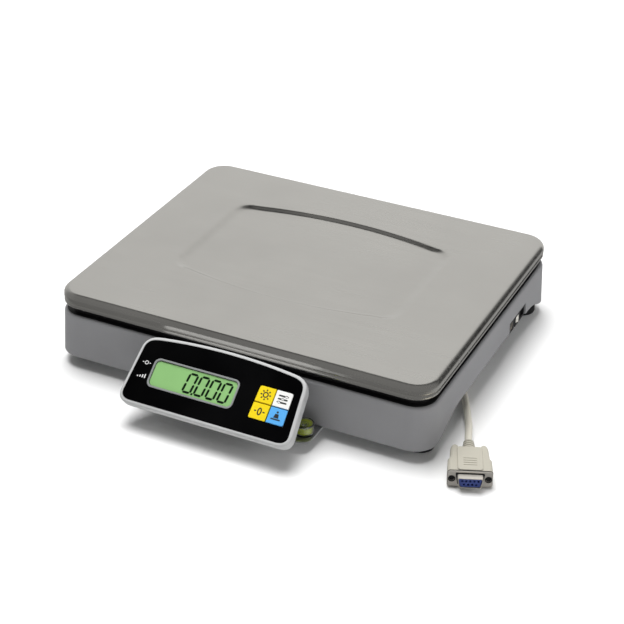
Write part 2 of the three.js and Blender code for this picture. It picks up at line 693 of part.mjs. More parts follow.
// The lead drops from the gland and runs back under the rear wall to the coil.
function makeLeadStart() {
  const [x, y] = GLAND_FACE;
  return tubeAlong([
    [x, y + GAP, GLAND_Z],
    [x, y + 8, GLAND_Z - 0.6],
    [x, y + 20, GLAND_Z - 5],
    [x, y + 32, FLOOR_CABLE_Z + 3],
    [x, y + 44, FLOOR_CABLE_Z + 0.5],
    [x, y + 58, FLOOR_CABLE_Z],
    [COIL_CENTRE[0] - LANE, COIL_CENTRE[1] - COIL_APPROACH, FLOOR_CABLE_Z],
  ], CABLE_RADIUS, 20, 8);
}

// It comes back from the coil, passes under the base and out below the right side, to the plug.
function makeLeadEnd() {
  const out = COIL_CENTRE[0] + LANE;
  const heading = [Math.cos(PLUG_HEADING), Math.sin(PLUG_HEADING)];
  const [px, py] = PLUG_BACK;
  return tubeAlong([
    [out, COIL_CENTRE[1] - COIL_APPROACH, FLOOR_CABLE_Z],
    [out, 130, FLOOR_CABLE_Z],
    [out + 1, 110, FLOOR_CABLE_Z],
    [63, 88, FLOOR_CABLE_Z],
    [76, 62, FLOOR_CABLE_Z],
    [94, 35, FLOOR_CABLE_Z],
    [114, 10, FLOOR_CABLE_Z],
    [131, -12, FLOOR_CABLE_Z],
    [142, -32, FLOOR_CABLE_Z],
    [149, -46, FLOOR_CABLE_Z + 0.6],
    [155, -59, FLOOR_CABLE_Z + 1.8],
    [161, -72.5, FLOOR_CABLE_Z + 3.3],
    [px - 6 * heading[0], py - 6 * heading[1], PLUG_Z - 0.5],
    [px - GAP * heading[0], py - GAP * heading[1], PLUG_Z],
  ], CABLE_RADIUS, 36, 8);
}

function makeCoil() {
  const [inner, outer] = [COIL_RADIUS - COIL_HALF_WIDTH, COIL_RADIUS + COIL_HALF_WIDTH];
  const soft = 1.6;
  return turned([
    [inner + soft, COIL_LOW], [outer - soft, COIL_LOW], [outer, COIL_LOW + soft], [outer, COIL_HIGH - soft],
    [outer - soft, COIL_HIGH], [inner + soft, COIL_HIGH], [inner, COIL_HIGH - soft],
    [inner, COIL_LOW + soft], [inner + soft, COIL_LOW],
  ], 32);
}

function makeCoilTie() {
  const clear = 0.6;
  const [y0, y1] = [COIL_RADIUS - COIL_HALF_WIDTH - clear, COIL_RADIUS + COIL_HALF_WIDTH + clear];
  const [z0, z1] = [COIL_LOW - GAP, COIL_HIGH + GAP];
  const band = solid(block(-4, 4, y0 - TIE_SHEET, y1 + TIE_SHEET, z0 - TIE_SHEET, z1 + TIE_SHEET));
  return geometryOf(cut(band, block(-5, 5, y0, y1, z0, z1)));
}

// The plug is drawn pointing along +X, with its strain relief starting at X = 0.
const RELIEF = 13;
const HOOD_FRONT = 42;
const FLANGE_WIDTH = 30.8;
const PLUG_SCREW_Y = 12.5;

function makePlugHood() {
  const outline = new THREE.Shape();
  outline.moveTo(HOOD_FRONT, -15.6);
  outline.lineTo(HOOD_FRONT, 15.6);
  outline.lineTo(RELIEF + 10, 14.8);
  outline.lineTo(RELIEF - 3, 12.6);
  outline.lineTo(RELIEF - 3.5, 9.4);
  outline.lineTo(RELIEF, 7);
  outline.lineTo(RELIEF, -7);
  outline.lineTo(RELIEF - 3.5, -9.4);
  outline.lineTo(RELIEF - 3, -12.6);
  outline.lineTo(RELIEF + 10, -14.8);
  const ribs = [[0, 3.4]];
  for (let i = 0; i < 4; i += 1) {
    const x = 0.6 + i * 3.1;
    const crest = 4 + i * 0.22;
    const root = 3.6 + i * 0.2;
    ribs.push([crest, x], [crest + 0.2, x + 1.9], [root, x + 2.1], [root, x + 3]);
  }
  const relief = turned([[0, 0], [3.4, 0], ...ribs.slice(1), [4, RELIEF + 2], [0, RELIEF + 2]], 20)
    .rotateY(Math.PI / 2);
  const hood = slab(outline, -PLUG_Z + 0.2, 7.4, 1.6);
  const screwWays = [-1, 1].map((side) => (
    pinAlongX(1.7, HOOD_FRONT - 12, HOOD_FRONT + 1, side * PLUG_SCREW_Y, 0, 14)));
  return geometryOf(cut(joined(hood, relief), ...screwWays));
}

function dOutline(halfWidth, halfHeight) {
  const lean = halfHeight * 0.18;
  return polygon([
    [-halfWidth + lean, -halfHeight], [halfWidth - lean, -halfHeight],
    [halfWidth + lean, halfHeight], [-halfWidth - lean, halfHeight],
  ]);
}

function makePlugShell() {
  const low = HOOD_FRONT + GAP;
  const body = joined(
    alongX(roundedRect(FLANGE_WIDTH, 12.5, 1.5), low, low + 0.8),
    alongX(dOutline(8.3, 4.1), low + 0.6, low + 6.2));
  const screwWays = [-1, 1].map((side) => pinAlongX(1.7, low - 1, low + 2, side * PLUG_SCREW_Y, 0, 14));
  return geometryOf(cut(body, alongX(dOutline(7.7, 3.5), low - 1, low + 8), ...screwWays));
}

function makePlugInsert() {
  const low = HOOD_FRONT + GAP;
  const holes = [5, 4].flatMap((count, row) => Array.from({ length: count }, (_, i) => (
    pinAlongX(0.6, low + 1.5, low + 8, (i - (count - 1) / 2) * 2.77, row === 0 ? 1.42 : -1.42, 8))));
  return geometryOf(cut(solid(alongX(dOutline(7.4, 3.2), low, low + 5.6)), ...holes));
}

function makePlugScrew(y) {
  const low = HOOD_FRONT - 11;
  const shank = solid(pinAlongX(1.4, low, HOOD_FRONT - 0.4, y, 0, 14));
  return geometryOf(cut(shank, block(HOOD_FRONT - 1.4, HOOD_FRONT, y - 1, y + 1, -0.3, 0.3)));
}

// ---------------------------------------------------------------- assembly

const machine = new THREE.Group();

place(machine, 'base_housing', makeHousing(), greyPlastic);
place(machine, 'bottom_plate', makeBottomPlate(), steelSheet);
place(machine, 'load_cell', makeLoadCell(), castAluminium);
place(machine, 'cell_spacer', makeCellSpacer(-1, FLOOR_PLATE[1] + GAP, CELL[0] - GAP), steelSheet);
CELL_BOLTS.forEach((x, i) => {
  const bolt = hexBolt(FLOOR_PLATE[0] - GAP - 4, FLOOR_PLATE[0] - GAP, CELL[0] + 10);
  place(machine, `cell_bolt_${i + 1}`, bolt, boltSteel).position.x = -x;
});
place(machine, 'overload_stop', hexBolt(CELL[0] - 0.7, FLOOR_PLATE[1] + GAP, FLOOR_PLATE[0] - 2), boltSteel)
  .position.x = STOP_X;
place(machine, 'main_board', makeMainBoard(), boardGreen);
place(machine, 'power_jack', makePowerJack(), blackPlastic);
place(machine, 'switch_frame', makeSwitchFrame(), blackPlastic);
place(machine, 'data_socket', makeDataSocket(), silverPlastic);
place(machine, 'cable_gland', makeGland(), blackRubber);

const rocker = place(machine, 'power_rocker', makeRocker(), switchIvory);
rocker.position.set(...ROCKER_AXIS, 0);
rocker.rotation.z = ROCKER_REST;

place(machine, 'display_bracket', makeBracket(), steelSheet);
[-1, 1].forEach((side) => {
  const word = side < 0 ? 'left' : 'right';
  const screw = place(machine, `bracket_screw_${word}`, makeBracketScrew(), boltSteel);
  screw.position.set(side * BOSS_X, -114, 0);
  place(machine, `tilt_screw_${word}`, makePivotScrew(side), boltSteel);
});

const level = new THREE.Group();
level.position.set(...LEVEL_AT, 0);
place(level, 'level_cup', makeLevelCup(), clearPlastic);
place(level, 'level_liquid', makeLevelLiquid(), levelGreen);
place(level, 'level_bubble', makeLevelBubble(), bubbleClear);
place(level, 'level_lens', makeLevelLens(), clearPlastic);
machine.add(level);

place(machine, 'platform_spider', makeSpider(), steelSheet);
place(machine, 'spider_riser', makeCellSpacer(1, CELL[1] + GAP, SPIDER[0] - GAP), steelSheet);
CELL_BOLTS.forEach((x, i) => {
  const bolt = hexBolt(SPIDER[1] + GAP + 3.5, SPIDER[1] + GAP, CELL[1] - 10);
  place(machine, `spider_bolt_${i + 1}`, bolt, boltSteel).position.x = x;
});
cornerSigns.forEach(([sx, sy, corner]) => {
  place(machine, `pan_pad_${corner}`, makePanPad(), blackRubber).position.set(sx * PAD_X, sy * PAD_Y, 0);
});
place(machine, 'weighing_pan', makePan(), stainless);

cornerSigns.forEach(([sx, sy, corner]) => {
  const foot = new THREE.Group();
  foot.position.set(...footPlace(sx, sy), 0);
  place(foot, `foot_stud_${corner}`, makeFootStud(), boltSteel);
  place(foot, `foot_pad_${corner}`, makeFootPad(), blackRubber);
  machine.add(foot);
});

place(display, 'display_front', makeDisplayFront(), silverPlastic);
place(display, 'display_rear', makeDisplayRear(), silverPlastic);
place(display, 'display_overlay', makeOverlay(), glossBlack);
place(display, 'lcd_rim', makeLcdRim(), nickel);
place(display, 'lcd_panel', makeLcdPanel(), lcdGreen);
place(display, 'display_board', makeDisplayBoard(), boardGreen);
place(display, 'key_power', makeKey(-1, 1), keyYellow);
place(display, 'key_function', makeKey(1, 1), keyWhite);
place(display, 'key_zero', makeKey(-1, -1), keyYellow);
place(display, 'key_tare', makeKey(1, -1), keyBlue);
SCREWS_AT.forEach(([x, y], i) => {
  place(display, `cover_screw_${i + 1}`, makeCoverScrew(), boltSteel).position.set(x, y, 0);
});
machine.add(display);

const lead = new THREE.Group();
place(lead, 'lead_start', makeLeadStart(), cableBeige);
place(lead, 'lead_end', makeLeadEnd(), cableBeige);
place(lead, 'lead_coil', makeCoil(), cableBeige).position.set(...COIL_CENTRE, 0);
place(lead, 'coil_tie', makeCoilTie(), blackPlastic).position.set(...COIL_CENTRE, 0);

const plug = new THREE.Group();
plug.position.set(...PLUG_BACK, PLUG_Z);
plug.rotation.z = PLUG_HEADING;
place(plug, 'plug_hood', makePlugHood(), cableBeige);
place(plug, 'plug_shell', makePlugShell(), nickel);
place(plug, 'plug_insert', makePlugInsert(), plugBlue);
place(plug, 'plug_screw_left', makePlugScrew(PLUG_SCREW_Y), boltSteel);
place(plug, 'plug_screw_right', makePlugScrew(-PLUG_SCREW_Y), boltSteel);
lead.add(plug);

// The origin is the middle of the machine's footprint, leaving the lead out.
const footprint = new THREE.Box3().setFromObject(machine, true);
const scale = new THREE.Group();
scale.add(machine, lead);
scale.position.y = -(footprint.min.y + footprint.max.y) / 2;

export default scale;
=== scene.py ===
import json
import math

import bmesh
import bpy
from mathutils import Matrix, Vector


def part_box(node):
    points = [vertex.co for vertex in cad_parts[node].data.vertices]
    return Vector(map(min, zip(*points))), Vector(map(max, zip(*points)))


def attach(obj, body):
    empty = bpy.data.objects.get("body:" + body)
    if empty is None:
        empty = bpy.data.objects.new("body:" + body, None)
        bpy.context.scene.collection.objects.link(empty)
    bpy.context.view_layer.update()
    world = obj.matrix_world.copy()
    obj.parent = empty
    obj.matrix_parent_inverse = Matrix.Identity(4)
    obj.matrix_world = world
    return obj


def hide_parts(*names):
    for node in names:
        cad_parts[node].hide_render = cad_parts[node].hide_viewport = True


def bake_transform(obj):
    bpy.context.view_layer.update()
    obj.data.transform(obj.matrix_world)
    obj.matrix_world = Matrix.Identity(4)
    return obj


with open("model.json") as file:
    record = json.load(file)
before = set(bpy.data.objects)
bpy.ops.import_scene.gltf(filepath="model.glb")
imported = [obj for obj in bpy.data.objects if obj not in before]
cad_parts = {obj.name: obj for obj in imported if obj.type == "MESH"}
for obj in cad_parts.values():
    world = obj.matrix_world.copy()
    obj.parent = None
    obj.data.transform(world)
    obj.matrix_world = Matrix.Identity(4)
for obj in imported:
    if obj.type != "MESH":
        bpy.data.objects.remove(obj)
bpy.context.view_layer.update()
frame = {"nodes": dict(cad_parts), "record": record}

# -------- sizes, in millimetres
# Drawing frame: the pan's centre is X = Y = 0 and the floor is Z = 0, as in the CAD source.

MM = 0.001
PAN_WIDTH, PAN_DEPTH, PAN_TOP, PAN_BOTTOM = 300, 250, 62, 50.2
PAN_SHEET, PAN_CORNER, PAN_ROUND = 1.2, 18, 4.4
PAN_CREASE = PAN_BOTTOM + 4.2
RECESS_HALF, RECESS_CORNER, RECESS_BOW = (92.5, 58), 15, 9
RECESS_CENTRE, RECESS_DEPTH = (-1.5, 8), 2

BASE_TOP, BASE_BOTTOM, BASE_DRAFT, BASE_WALL = 47.3, 10, 1.5, 2.6
BASE_SHOULDER, BASE_RIM = 2.2, 44.8
DECK_OPENING = (142, 44, 8)  # width, depth and corner radius
ARCH_HEIGHT = 21
NOTCH = (36, 72)  # Y range of the cut for the sockets
SOCKET_BOTTOM, SOCKET_TOP = 19, 28.2
SOCKET_SPANS = ((37.5, 49.1), (50.7, 60.3), (61.3, 71.3))

TILT = math.radians(39)
DISPLAY_EDGE = (-176.8, 21.3)
DISPLAY_FRONT_DEPTH, DISPLAY_DEPTH = 6.5, 13.5
DISPLAY_BACK_ROUND = 4.2
PIVOT = (-143, 20.5)  # Y and Z of the display's tilt axis
LCD_CENTRE, LCD_SIZE, LCD_RIM = (-16.5, 26.8), (68.4, 22.3), 1.4
KEYPAD_CENTRE, KEY_PITCH = (45.2, 26.6), (13.1, 12.6)
KEY_GAP, KEY_FLARE = 0.8, 0.45

LEVEL_AT, LEVEL_RADIUS = (62.3, -138), 7
BRACKET = (8, 9.5)

CABLE_RADIUS, LEAD_LENGTH = 2.6, 1.455  # the length is in metres
LEAD_EXIT, LEAD_Z = (-13.7, 74.3, 14), CABLE_RADIUS + 0.1
COIL_CENTRE, COIL_RADIUS, COIL_TURNS = (22.7, 170), 31.2, 5.5
COIL_Z = 1.3 + CABLE_RADIUS
COIL_LANE = COIL_RADIUS + 2 * CABLE_RADIUS  # radius of the outermost turn
PLUG_BACK, PLUG_HEADING, PLUG_Z = (169, -94.2), math.radians(-67.5), 7.7
RELIEF, HOOD_FRONT, PLUG_SCREW = 13, 42, 12.5

pan_low, pan_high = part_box("weighing_pan")
SHIFT_Y = (pan_low.y + pan_high.y) / 2
MACHINE = Matrix.Translation((0, SHIFT_Y, 0)) @ Matrix.Scale(MM, 4)
DISPLAY = MACHINE @ Matrix.Translation((0, *DISPLAY_EDGE)) @ Matrix.Rotation(TILT, 4, "X")
PLUG = MACHINE @ Matrix.Translation((*PLUG_BACK, PLUG_Z)) @ Matrix.Rotation(PLUG_HEADING, 4, "Z")
SIDEWAYS = Matrix(((0, 0, 1, 0), (1, 0, 0, 0), (0, 1, 0, 0), (0, 0, 0, 1)))  # (u, v, w) to (w, u, v)


# -------- camera, floor and light

def make_camera():
    azimuth, elevation, roll = (math.radians(a) for a in (25.05, 30.67, 1.12))
    forward = Vector((-math.sin(azimuth) * math.cos(elevation),
                      math.cos(azimuth) * math.cos(elevation), -math.sin(elevation)))
    level = Vector((math.cos(azimuth), math.sin(azimuth), 0))
    upright = level.cross(forward)
    right = level * math.cos(roll) + upright * math.sin(roll)
    up = upright * math.cos(roll) - level * math.sin(roll)
    data = bpy.data.cameras.new("camera")
    data.sensor_width = 36
    data.lens = 98.5
    camera = bpy.data.objects.new("camera", data)
    axes = Matrix((right, up, -forward)).transposed().to_4x4()
    camera.matrix_world = Matrix.Translation(MACHINE @ Vector((484.5, -1032.5, 695))) @ axes
    bpy.context.scene.collection.objects.link(camera)
    bpy.context.scene.camera = camera


def area_light(name, place, target, size, power):
    data = bpy.data.lights.new(name, "AREA")
    data.shape = "RECTANGLE"
    data.size, data.size_y = size
    data.energy = power
    light = bpy.data.objects.new(name, data)
    light.location = place
    light.rotation_euler = (Vector(target) - Vector(place)).to_track_quat("-Z", "Y").to_euler()
    light.visible_glossy = False
    bpy.context.scene.collection.objects.link(light)


def make_world():
    """What the metal reflects: a bright backdrop behind, a dark gap to its right, and dim walls elsewhere."""
    world = bpy.data.worlds.new("studio")
    bpy.context.scene.world = world
    world.use_nodes = True
    tree = world.node_tree
    direction = tree.nodes.new("ShaderNodeTexCoord").outputs["Generated"]
    split = tree.nodes.new("ShaderNodeSeparateXYZ")
    tree.links.new(direction, split.inputs[0])
    behind = tree.nodes.new("ShaderNodeVectorMath")
    behind.operation = "DOT_PRODUCT"
    behind.inputs[1].default_value = (-0.423, 0.906, 0)
    tree.links.new(direction, behind.inputs[0])

    def remap(value, low, high):
        node = tree.nodes.new("ShaderNodeMapRange")
        node.inputs["From Min"].default_value = low
        node.inputs["From Max"].default_value = high
        tree.links.new(value, node.inputs["Value"])
        return node.outputs[0]

    def greys(value, *stops):
        ramp = tree.nodes.new("ShaderNodeValToRGB")
        elements = ramp.color_ramp.elements
        for element, (place, grey) in zip(elements, (stops[0], stops[-1])):
            element.position = place
            element.color = (grey, grey, grey * 0.985, 1)
        for place, grey in stops[1:-1]:
            elements.new(place).color = (grey, grey, grey * 0.985, 1)
        tree.links.new(value, ramp.inputs["Fac"])
        return ramp.outputs["Color"]

    around = remap(behind.outputs["Value"], -1, 1)
    walls = greys(around, (0, 0.19), (0.5, 0.2), (0.6, 0.17), (0.7, 0.09), (0.72, 0.01), (0.785, 0.012),
                  (0.83, 0.68), (1, 0.7))
    left = greys(around, (0, 0.19), (0.7, 0.26), (1, 0.7))
    ground = greys(remap(split.outputs["Y"], -0.3, 0.4), (0, 0.17), (1, 0.36))

    def mixed(share, low, high):
        blend = tree.nodes.new("ShaderNodeMix")
        blend.data_type = "RGBA"
        for index, value in ((0, share), (6, low), (7, high)):
            tree.links.new(value, blend.inputs[index])
        return blend.outputs[2]

    walls = mixed(remap(split.outputs["X"], -0.62, -0.46), left, walls)
    sky = mixed(remap(split.outputs["Z"], -0.4, -0.24), ground, walls)
    tree.links.new(sky, tree.nodes["Background"].inputs["Color"])


def make_floor():
    mesh = bpy.data.meshes.new("floor")
    half = 6
    mesh.from_pydata([(-half, -half, 0), (half, -half, 0), (half, half, 0), (-half, half, 0)], [],
                     [(0, 1, 2, 3)])
    floor = bpy.data.objects.new("floor", mesh)
    bpy.context.scene.collection.objects.link(floor)
    paper = bpy.data.materials.new("studio_floor")
    paper.use_nodes = True
    paper.node_tree.nodes["Principled BSDF"].inputs["Base Color"].default_value = (0.9, 0.9, 0.9, 1)
    paper.node_tree.nodes["Principled BSDF"].inputs["Roughness"].default_value = 0.9
    mesh.materials.append(paper)
    floor.visible_glossy = False


bpy.context.scene.view_settings.view_transform = "Standard"
make_camera()
make_world()
make_floor()
area_light("top_softbox", (-0.3, 0.2, 1.9), (0, 0, 0), (1.3, 1.3), 53)
area_light("right_fill", (1.7, -0.1, 0.8), (0, 0, 0.03), (1.4, 1.0), 9)


# -------- materials

class Finish:
    """A Principled material with short calls for the nodes that give it grain, variation and wear."""

    def __init__(self, name, colour, roughness, metallic=0.0, **sockets):
        self.material = bpy.data.materials.new(name)
        self.material.use_nodes = True
        self.tree = self.material.node_tree
        self.shader = self.tree.nodes["Principled BSDF"]
        self.set("Base Color", (*colour, 1))
        self.set("Roughness", roughness)
        self.set("Metallic", metallic)
        for key, value in sockets.items():
            self.set(key.replace("_", " "), value)

    def set(self, socket, value):
        self.shader.inputs[socket].default_value = value

    def link(self, source, socket):
        self.tree.links.new(source, self.shader.inputs[socket])

    def add(self, kind, inputs=None, **settings):
        node = self.tree.nodes.new(kind)
        for key, value in settings.items():
            setattr(node, key, value)
        for key, value in (inputs or {}).items():
            if isinstance(value, bpy.types.NodeSocket):
                self.tree.links.new(value, node.inputs[key])
            else:
                node.inputs[key].default_value = value
        return node

    def place(self, stretch=(1, 1, 1)):
        """Object coordinates, in metres, scaled along each axis to stretch a texture."""
        where = self.add("ShaderNodeTexCoord").outputs["Object"]
        return self.add("ShaderNodeMapping", {"Vector": where, "Scale": stretch}).outputs[0]

    def noise(self, scale, detail=3.0, stretch=(1, 1, 1), rough=0.55):
        inputs = {"Vector": self.place(stretch), "Scale": scale, "Detail": detail, "Roughness": rough}
        return self.add("ShaderNodeTexNoise", inputs).outputs[0]

    def remap(self, value, from_low, from_high, to_low, to_high):
        inputs = {"Value": value, "From Min": from_low, "From Max": from_high,
                  "To Min": to_low, "To Max": to_high}
        return self.add("ShaderNodeMapRange", inputs).outputs[0]

    def tint(self, value, low, high, darkest, lightest, lift=0.0):
        """Varies the colour between a darker and a lighter shade of itself."""
        colour = self.shader.inputs["Base Color"].default_value[:3]
        dark, light = [c * darkest for c in colour], [min(1, c * lightest + lift) for c in colour]
        inputs = {0: self.remap(value, low, high, 0, 1), 6: (*dark, 1), 7: (*light, 1)}
        self.link(self.add("ShaderNodeMix", inputs, data_type="RGBA").outputs[2], "Base Color")

    def uneven(self, first, second):
        """Gloss that is the sum of two patterns."""
        self.link(self.add("ShaderNodeMath", {0: first, 1: second}, operation="ADD").outputs[0], "Roughness")

    def bump(self, height, strength, distance):
        inputs = {"Height": height, "Strength": strength, "Distance": distance}
        self.link(self.add("ShaderNodeBump", inputs).outputs[0], "Normal")


def brushed(name, colour, grain, roughness, streak=(0.02, 1, 1), metallic=1.0):
    """Sheet metal with fine lines along one direction and faint cloudy marks."""
    look = Finish(name, colour, roughness, metallic)
    lines = look.noise(grain, 4, streak, rough=0.7)
    cloud = look.noise(9, 3)
    look.tint(cloud, 0.3, 0.7, 0.93, 1.05)
    look.uneven(look.remap(lines, 0.25, 0.75, -0.05, 0.06),
                look.remap(cloud, 0.3, 0.7, roughness - 0.03, roughness + 0.04))
    look.bump(lines, 0.05, 0.0001)
    return look.material


def moulded(name, colour, roughness, texture=1400, depth=0.00006, variation=0.06):
    """Moulded plastic: a fine spark-eroded texture, uneven gloss and slightly uneven colour."""
    look = Finish(name, colour, roughness)
    cloud = look.noise(14, 4)
    grain = look.noise(texture, 3, rough=0.6)
    look.tint(cloud, 0.3, 0.7, 1 - variation, 1 + variation)
    look.uneven(look.remap(grain, 0.3, 0.7, -0.05, 0.05),
                look.remap(cloud, 0.3, 0.7, roughness - 0.04, roughness + 0.05))
    look.bump(grain, 0.35, depth)
    return look.material


def glossy(name, colour, roughness, **sockets):
    """Printed or polished plastic: smooth, with faint dust and handling marks in its gloss."""
    look = Finish(name, colour, roughness, **sockets)
    dust = look.noise(700, 2, rough=0.7)
    smear = look.noise(22, 3)
    look.uneven(look.remap(dust, 0.55, 0.8, 0, 0.1),
                look.remap(smear, 0.35, 0.75, roughness, roughness + 0.08))
    look.tint(smear, 0.3, 0.7, 0.95, 1.04, 0.002)
    look.bump(smear, 0.02, 0.0004)
    return look.material


def rubbery(name, colour, roughness=0.75):
    look = Finish(name, colour, roughness, Specular_IOR_Level=0.35)
    cloud = look.noise(30, 4)
    grain = look.noise(2200, 2)
    look.tint(cloud, 0.35, 0.7, 0.8, 1.3, 0.004)
    look.link(look.remap(cloud, 0.3, 0.7, roughness - 0.08, roughness + 0.08), "Roughness")
    look.bump(grain, 0.3, 0.00005)
    return look.material


def clear(name, colour, roughness=0.05, transmission=1.0):
    look = Finish(name, colour, roughness, Transmission_Weight=transmission, IOR=1.49)
    smear = look.noise(160, 3)
    look.link(look.remap(smear, 0.3, 0.8, roughness, roughness + 0.08), "Roughness")
    look.bump(smear, 0.05, 0.0003)
    return look.material


def circuit(name):
    look = Finish(name, (0.03, 0.17, 0.07), 0.4)
    tracks = look.add("ShaderNodeTexBrick", {"Vector": look.place(), "Scale": 120.0, "Mortar Size": 0.06,
                                             "Color1": (0.02, 0.15, 0.06, 1), "Color2": (0.03, 0.19, 0.08, 1),
                                             "Mortar": (0.06, 0.27, 0.12, 1)})
    look.link(tracks.outputs["Color"], "Base Color")
    look.bump(tracks.outputs["Fac"], 0.3, 0.00005)
    look.link(look.remap(look.noise(300), 0.3, 0.7, 0.3, 0.5), "Roughness")
    return look.material


# The material of each slot in the record
SLOT_MATERIAL = {
    "pan_steel": brushed("brushed_stainless", (0.66, 0.645, 0.615), 420, 0.22),
    "base_plastic": moulded("base_grey_plastic", (0.275, 0.275, 0.285), 0.5),
    "display_plastic": moulded("display_silver_plastic", (0.5, 0.505, 0.505), 0.42, 1800, 0.00004, 0.04),
    "sheet_steel": brushed("zinc_plate", (0.62, 0.63, 0.64), 500, 0.34, (1, 0.3, 1)),
    "fastener_steel": brushed("fastener_zinc", (0.5, 0.51, 0.53), 900, 0.3),
    "cell_aluminium": brushed("machined_aluminium", (0.68, 0.69, 0.7), 600, 0.4),
    "black_plastic": moulded("black_plastic", (0.012, 0.012, 0.013), 0.45),
    "overlay_black": glossy("gloss_black_overlay", (0.0008, 0.0008, 0.001), 0.16, Specular_IOR_Level=0.02),
    "black_rubber": rubbery("black_rubber", (0.012, 0.012, 0.013)),
    "circuit_board": circuit("solder_mask"),
    "lcd": glossy("lcd_green", (0.245, 0.47, 0.176), 0.16),
    "key_yellow": glossy("key_yellow", (0.82, 0.62, 0.008), 0.35, Coat_Weight=0.1),
    "key_white": glossy("key_white", (0.85, 0.85, 0.83), 0.35, Coat_Weight=0.1),
    "key_blue": glossy("key_blue", (0.1, 0.4, 0.82), 0.35, Coat_Weight=0.1),
    "level_fluid": clear("level_fluid", (0.5, 0.58, 0.03), 0.05, 0.2),
    "clear_plastic": clear("clear_acrylic", (0.93, 0.95, 0.9)),
    "lead_beige": moulded("beige_pvc", (0.6, 0.575, 0.5), 0.5, 900, 0.00004, 0.05),
    "insert_blue": moulded("blue_insert", (0.03, 0.055, 0.24), 0.4),
    "nickel": brushed("nickel", (0.62, 0.59, 0.54), 900, 0.2, metallic=0.5),
    "rocker_ivory": glossy("rocker_ivory", (0.72, 0.7, 0.64), 0.3),
}

# Pieces that differ from their slot's material
RIM_GREY = moulded("window_rim_grey", (0.25, 0.26, 0.26), 0.35, 1800, 0.00003, 0.04)
INK = glossy("lcd_segment", (0.004, 0.012, 0.004), 0.4, Specular_IOR_Level=0.1)
MARK_DARK = glossy("key_print", (0.03, 0.03, 0.03), 0.4)
MARK_PALE = glossy("panel_print", (0.7, 0.7, 0.7), 0.4)
# The plug's moulding is the lead's own beige PVC, coloured darker here as painted shade to offset the light
# that falls on it.
HOOD = moulded("beige_moulding_painted_shade", (0.42, 0.4, 0.34), 0.45, 900, 0.00004, 0.05)


# -------- mesh helpers

def finish_piece(name, mesh, body, slot, stands_for=(), space=MACHINE, angle=32, material=None):
    """Places a mesh drawn in millimetres, shades it smooth except at real edges, and rides it on a body."""
    mesh.transform(space)
    mesh.shade_smooth()
    mesh.set_sharp_from_angle(angle=math.radians(angle))
    mesh.materials.clear()
    mesh.materials.append(material or SLOT_MATERIAL[slot])
    piece = bpy.data.objects.new(name, mesh)
    bpy.context.scene.collection.objects.link(piece)
    weighted = piece.modifiers.new("normals", "WEIGHTED_NORMAL")
    weighted.keep_sharp = True
    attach(piece, body)
    if stands_for:
        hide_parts(*stands_for)


def merged(*meshes, weld=0.0):
    """One mesh from several, which are used up; points closer than weld become one."""
    whole = bmesh.new()
    for mesh in meshes:
        whole.from_mesh(mesh)
        bpy.data.meshes.remove(mesh)
    if weld:
        bmesh.ops.remove_doubles(whole, verts=whole.verts, dist=weld)
    bmesh.ops.recalc_face_normals(whole, faces=whole.faces)
    mesh = bpy.data.meshes.new("merged")
    whole.to_mesh(mesh)
    whole.free()
    return mesh


def loft(rings, wrap=False, cap=True, weld=0.0):
    """A skin through closed rings that have the same number of points; wrap joins the last to the first."""
    count = len(rings[0])
    points = [p for ring in rings for p in ring]
    faces = []
    steps = len(rings) if wrap else len(rings) - 1
    for step in range(steps):
        a, b = step * count, ((step + 1) % len(rings)) * count
        for i in range(count):
            j = (i + 1) % count
            faces.append((a + i, a + j, b + j, b + i))
    if cap and not wrap:
        faces += [tuple(reversed(range(count))), tuple(range(len(points) - count, len(points)))]
    mesh = bpy.data.meshes.new("loft")
    mesh.from_pydata(points, [], faces)
    mesh.validate()
    return merged(mesh, weld=weld)


def turned(profile, sides=48):
    """A solid of revolution about Z from (radius, z) points; points on the axis close it."""
    return loft([ring_at(circle(max(radius, 0.0005), sides=sides), z) for radius, z in profile], weld=0.002)


def boxes(*corners):
    """Closed boxes, each given by x0, x1, y0, y1, z0, z1."""
    whole = bmesh.new()
    for x0, x1, y0, y1, z0, z1 in corners:
        size = Matrix.Diagonal((x1 - x0, y1 - y0, z1 - z0, 1))
        place = Matrix.Translation(((x0 + x1) / 2, (y0 + y1) / 2, (z0 + z1) / 2))
        bmesh.ops.create_cube(whole, size=1, matrix=place @ size)
    mesh = bpy.data.meshes.new("boxes")
    whole.to_mesh(mesh)
    whole.free()
    return mesh


def plate(outlines, low, high, edge=0.0, segments=2):
    """A flat piece between two heights from closed outlines; an outline inside another one is a hole."""
    curve = bpy.data.curves.new("plate", "CURVE")
    curve.dimensions = "2D"
    curve.fill_mode = "BOTH"
    curve.extrude = (high - low) / 2 - edge
    curve.bevel_depth = edge
    curve.bevel_resolution = segments
    curve.offset = -edge
    for outline in outlines:
        spline = curve.splines.new("POLY")
        spline.points.add(len(outline) - 1)
        for point, (x, y) in zip(spline.points, outline):
            point.co = (x, y, 0, 1)
        spline.use_cyclic_u = True
    holder = bpy.data.objects.new("plate", curve)
    mesh = bpy.data.meshes.new_from_object(holder)
    bpy.data.objects.remove(holder)
    bpy.data.curves.remove(curve)
    mesh.transform(Matrix.Translation((0, 0, (low + high) / 2)))
    return merged(mesh, weld=0.003)


def moved(mesh, *matrices):
    for matrix in matrices:
        mesh.transform(matrix)
    return mesh


def quadratic(a, b, c, steps):
    """Points after a, up to c, on the curve that b pulls."""
    a, b, c = Vector(a), Vector(b), Vector(c)
    return [tuple(a * (1 - t) ** 2 + b * 2 * t * (1 - t) + c * t * t)
            for t in (i / steps for i in range(1, steps + 1))]


def cubic(a, b, c, d, steps):
    """The same with two points, b and c, that pull."""
    a, b, c, d = Vector(a), Vector(b), Vector(c), Vector(d)
    return [tuple(a * (1 - t) ** 3 + b * 3 * t * (1 - t) ** 2 + c * 3 * t * t * (1 - t) + d * t ** 3)
            for t in (i / steps for i in range(1, steps + 1))]


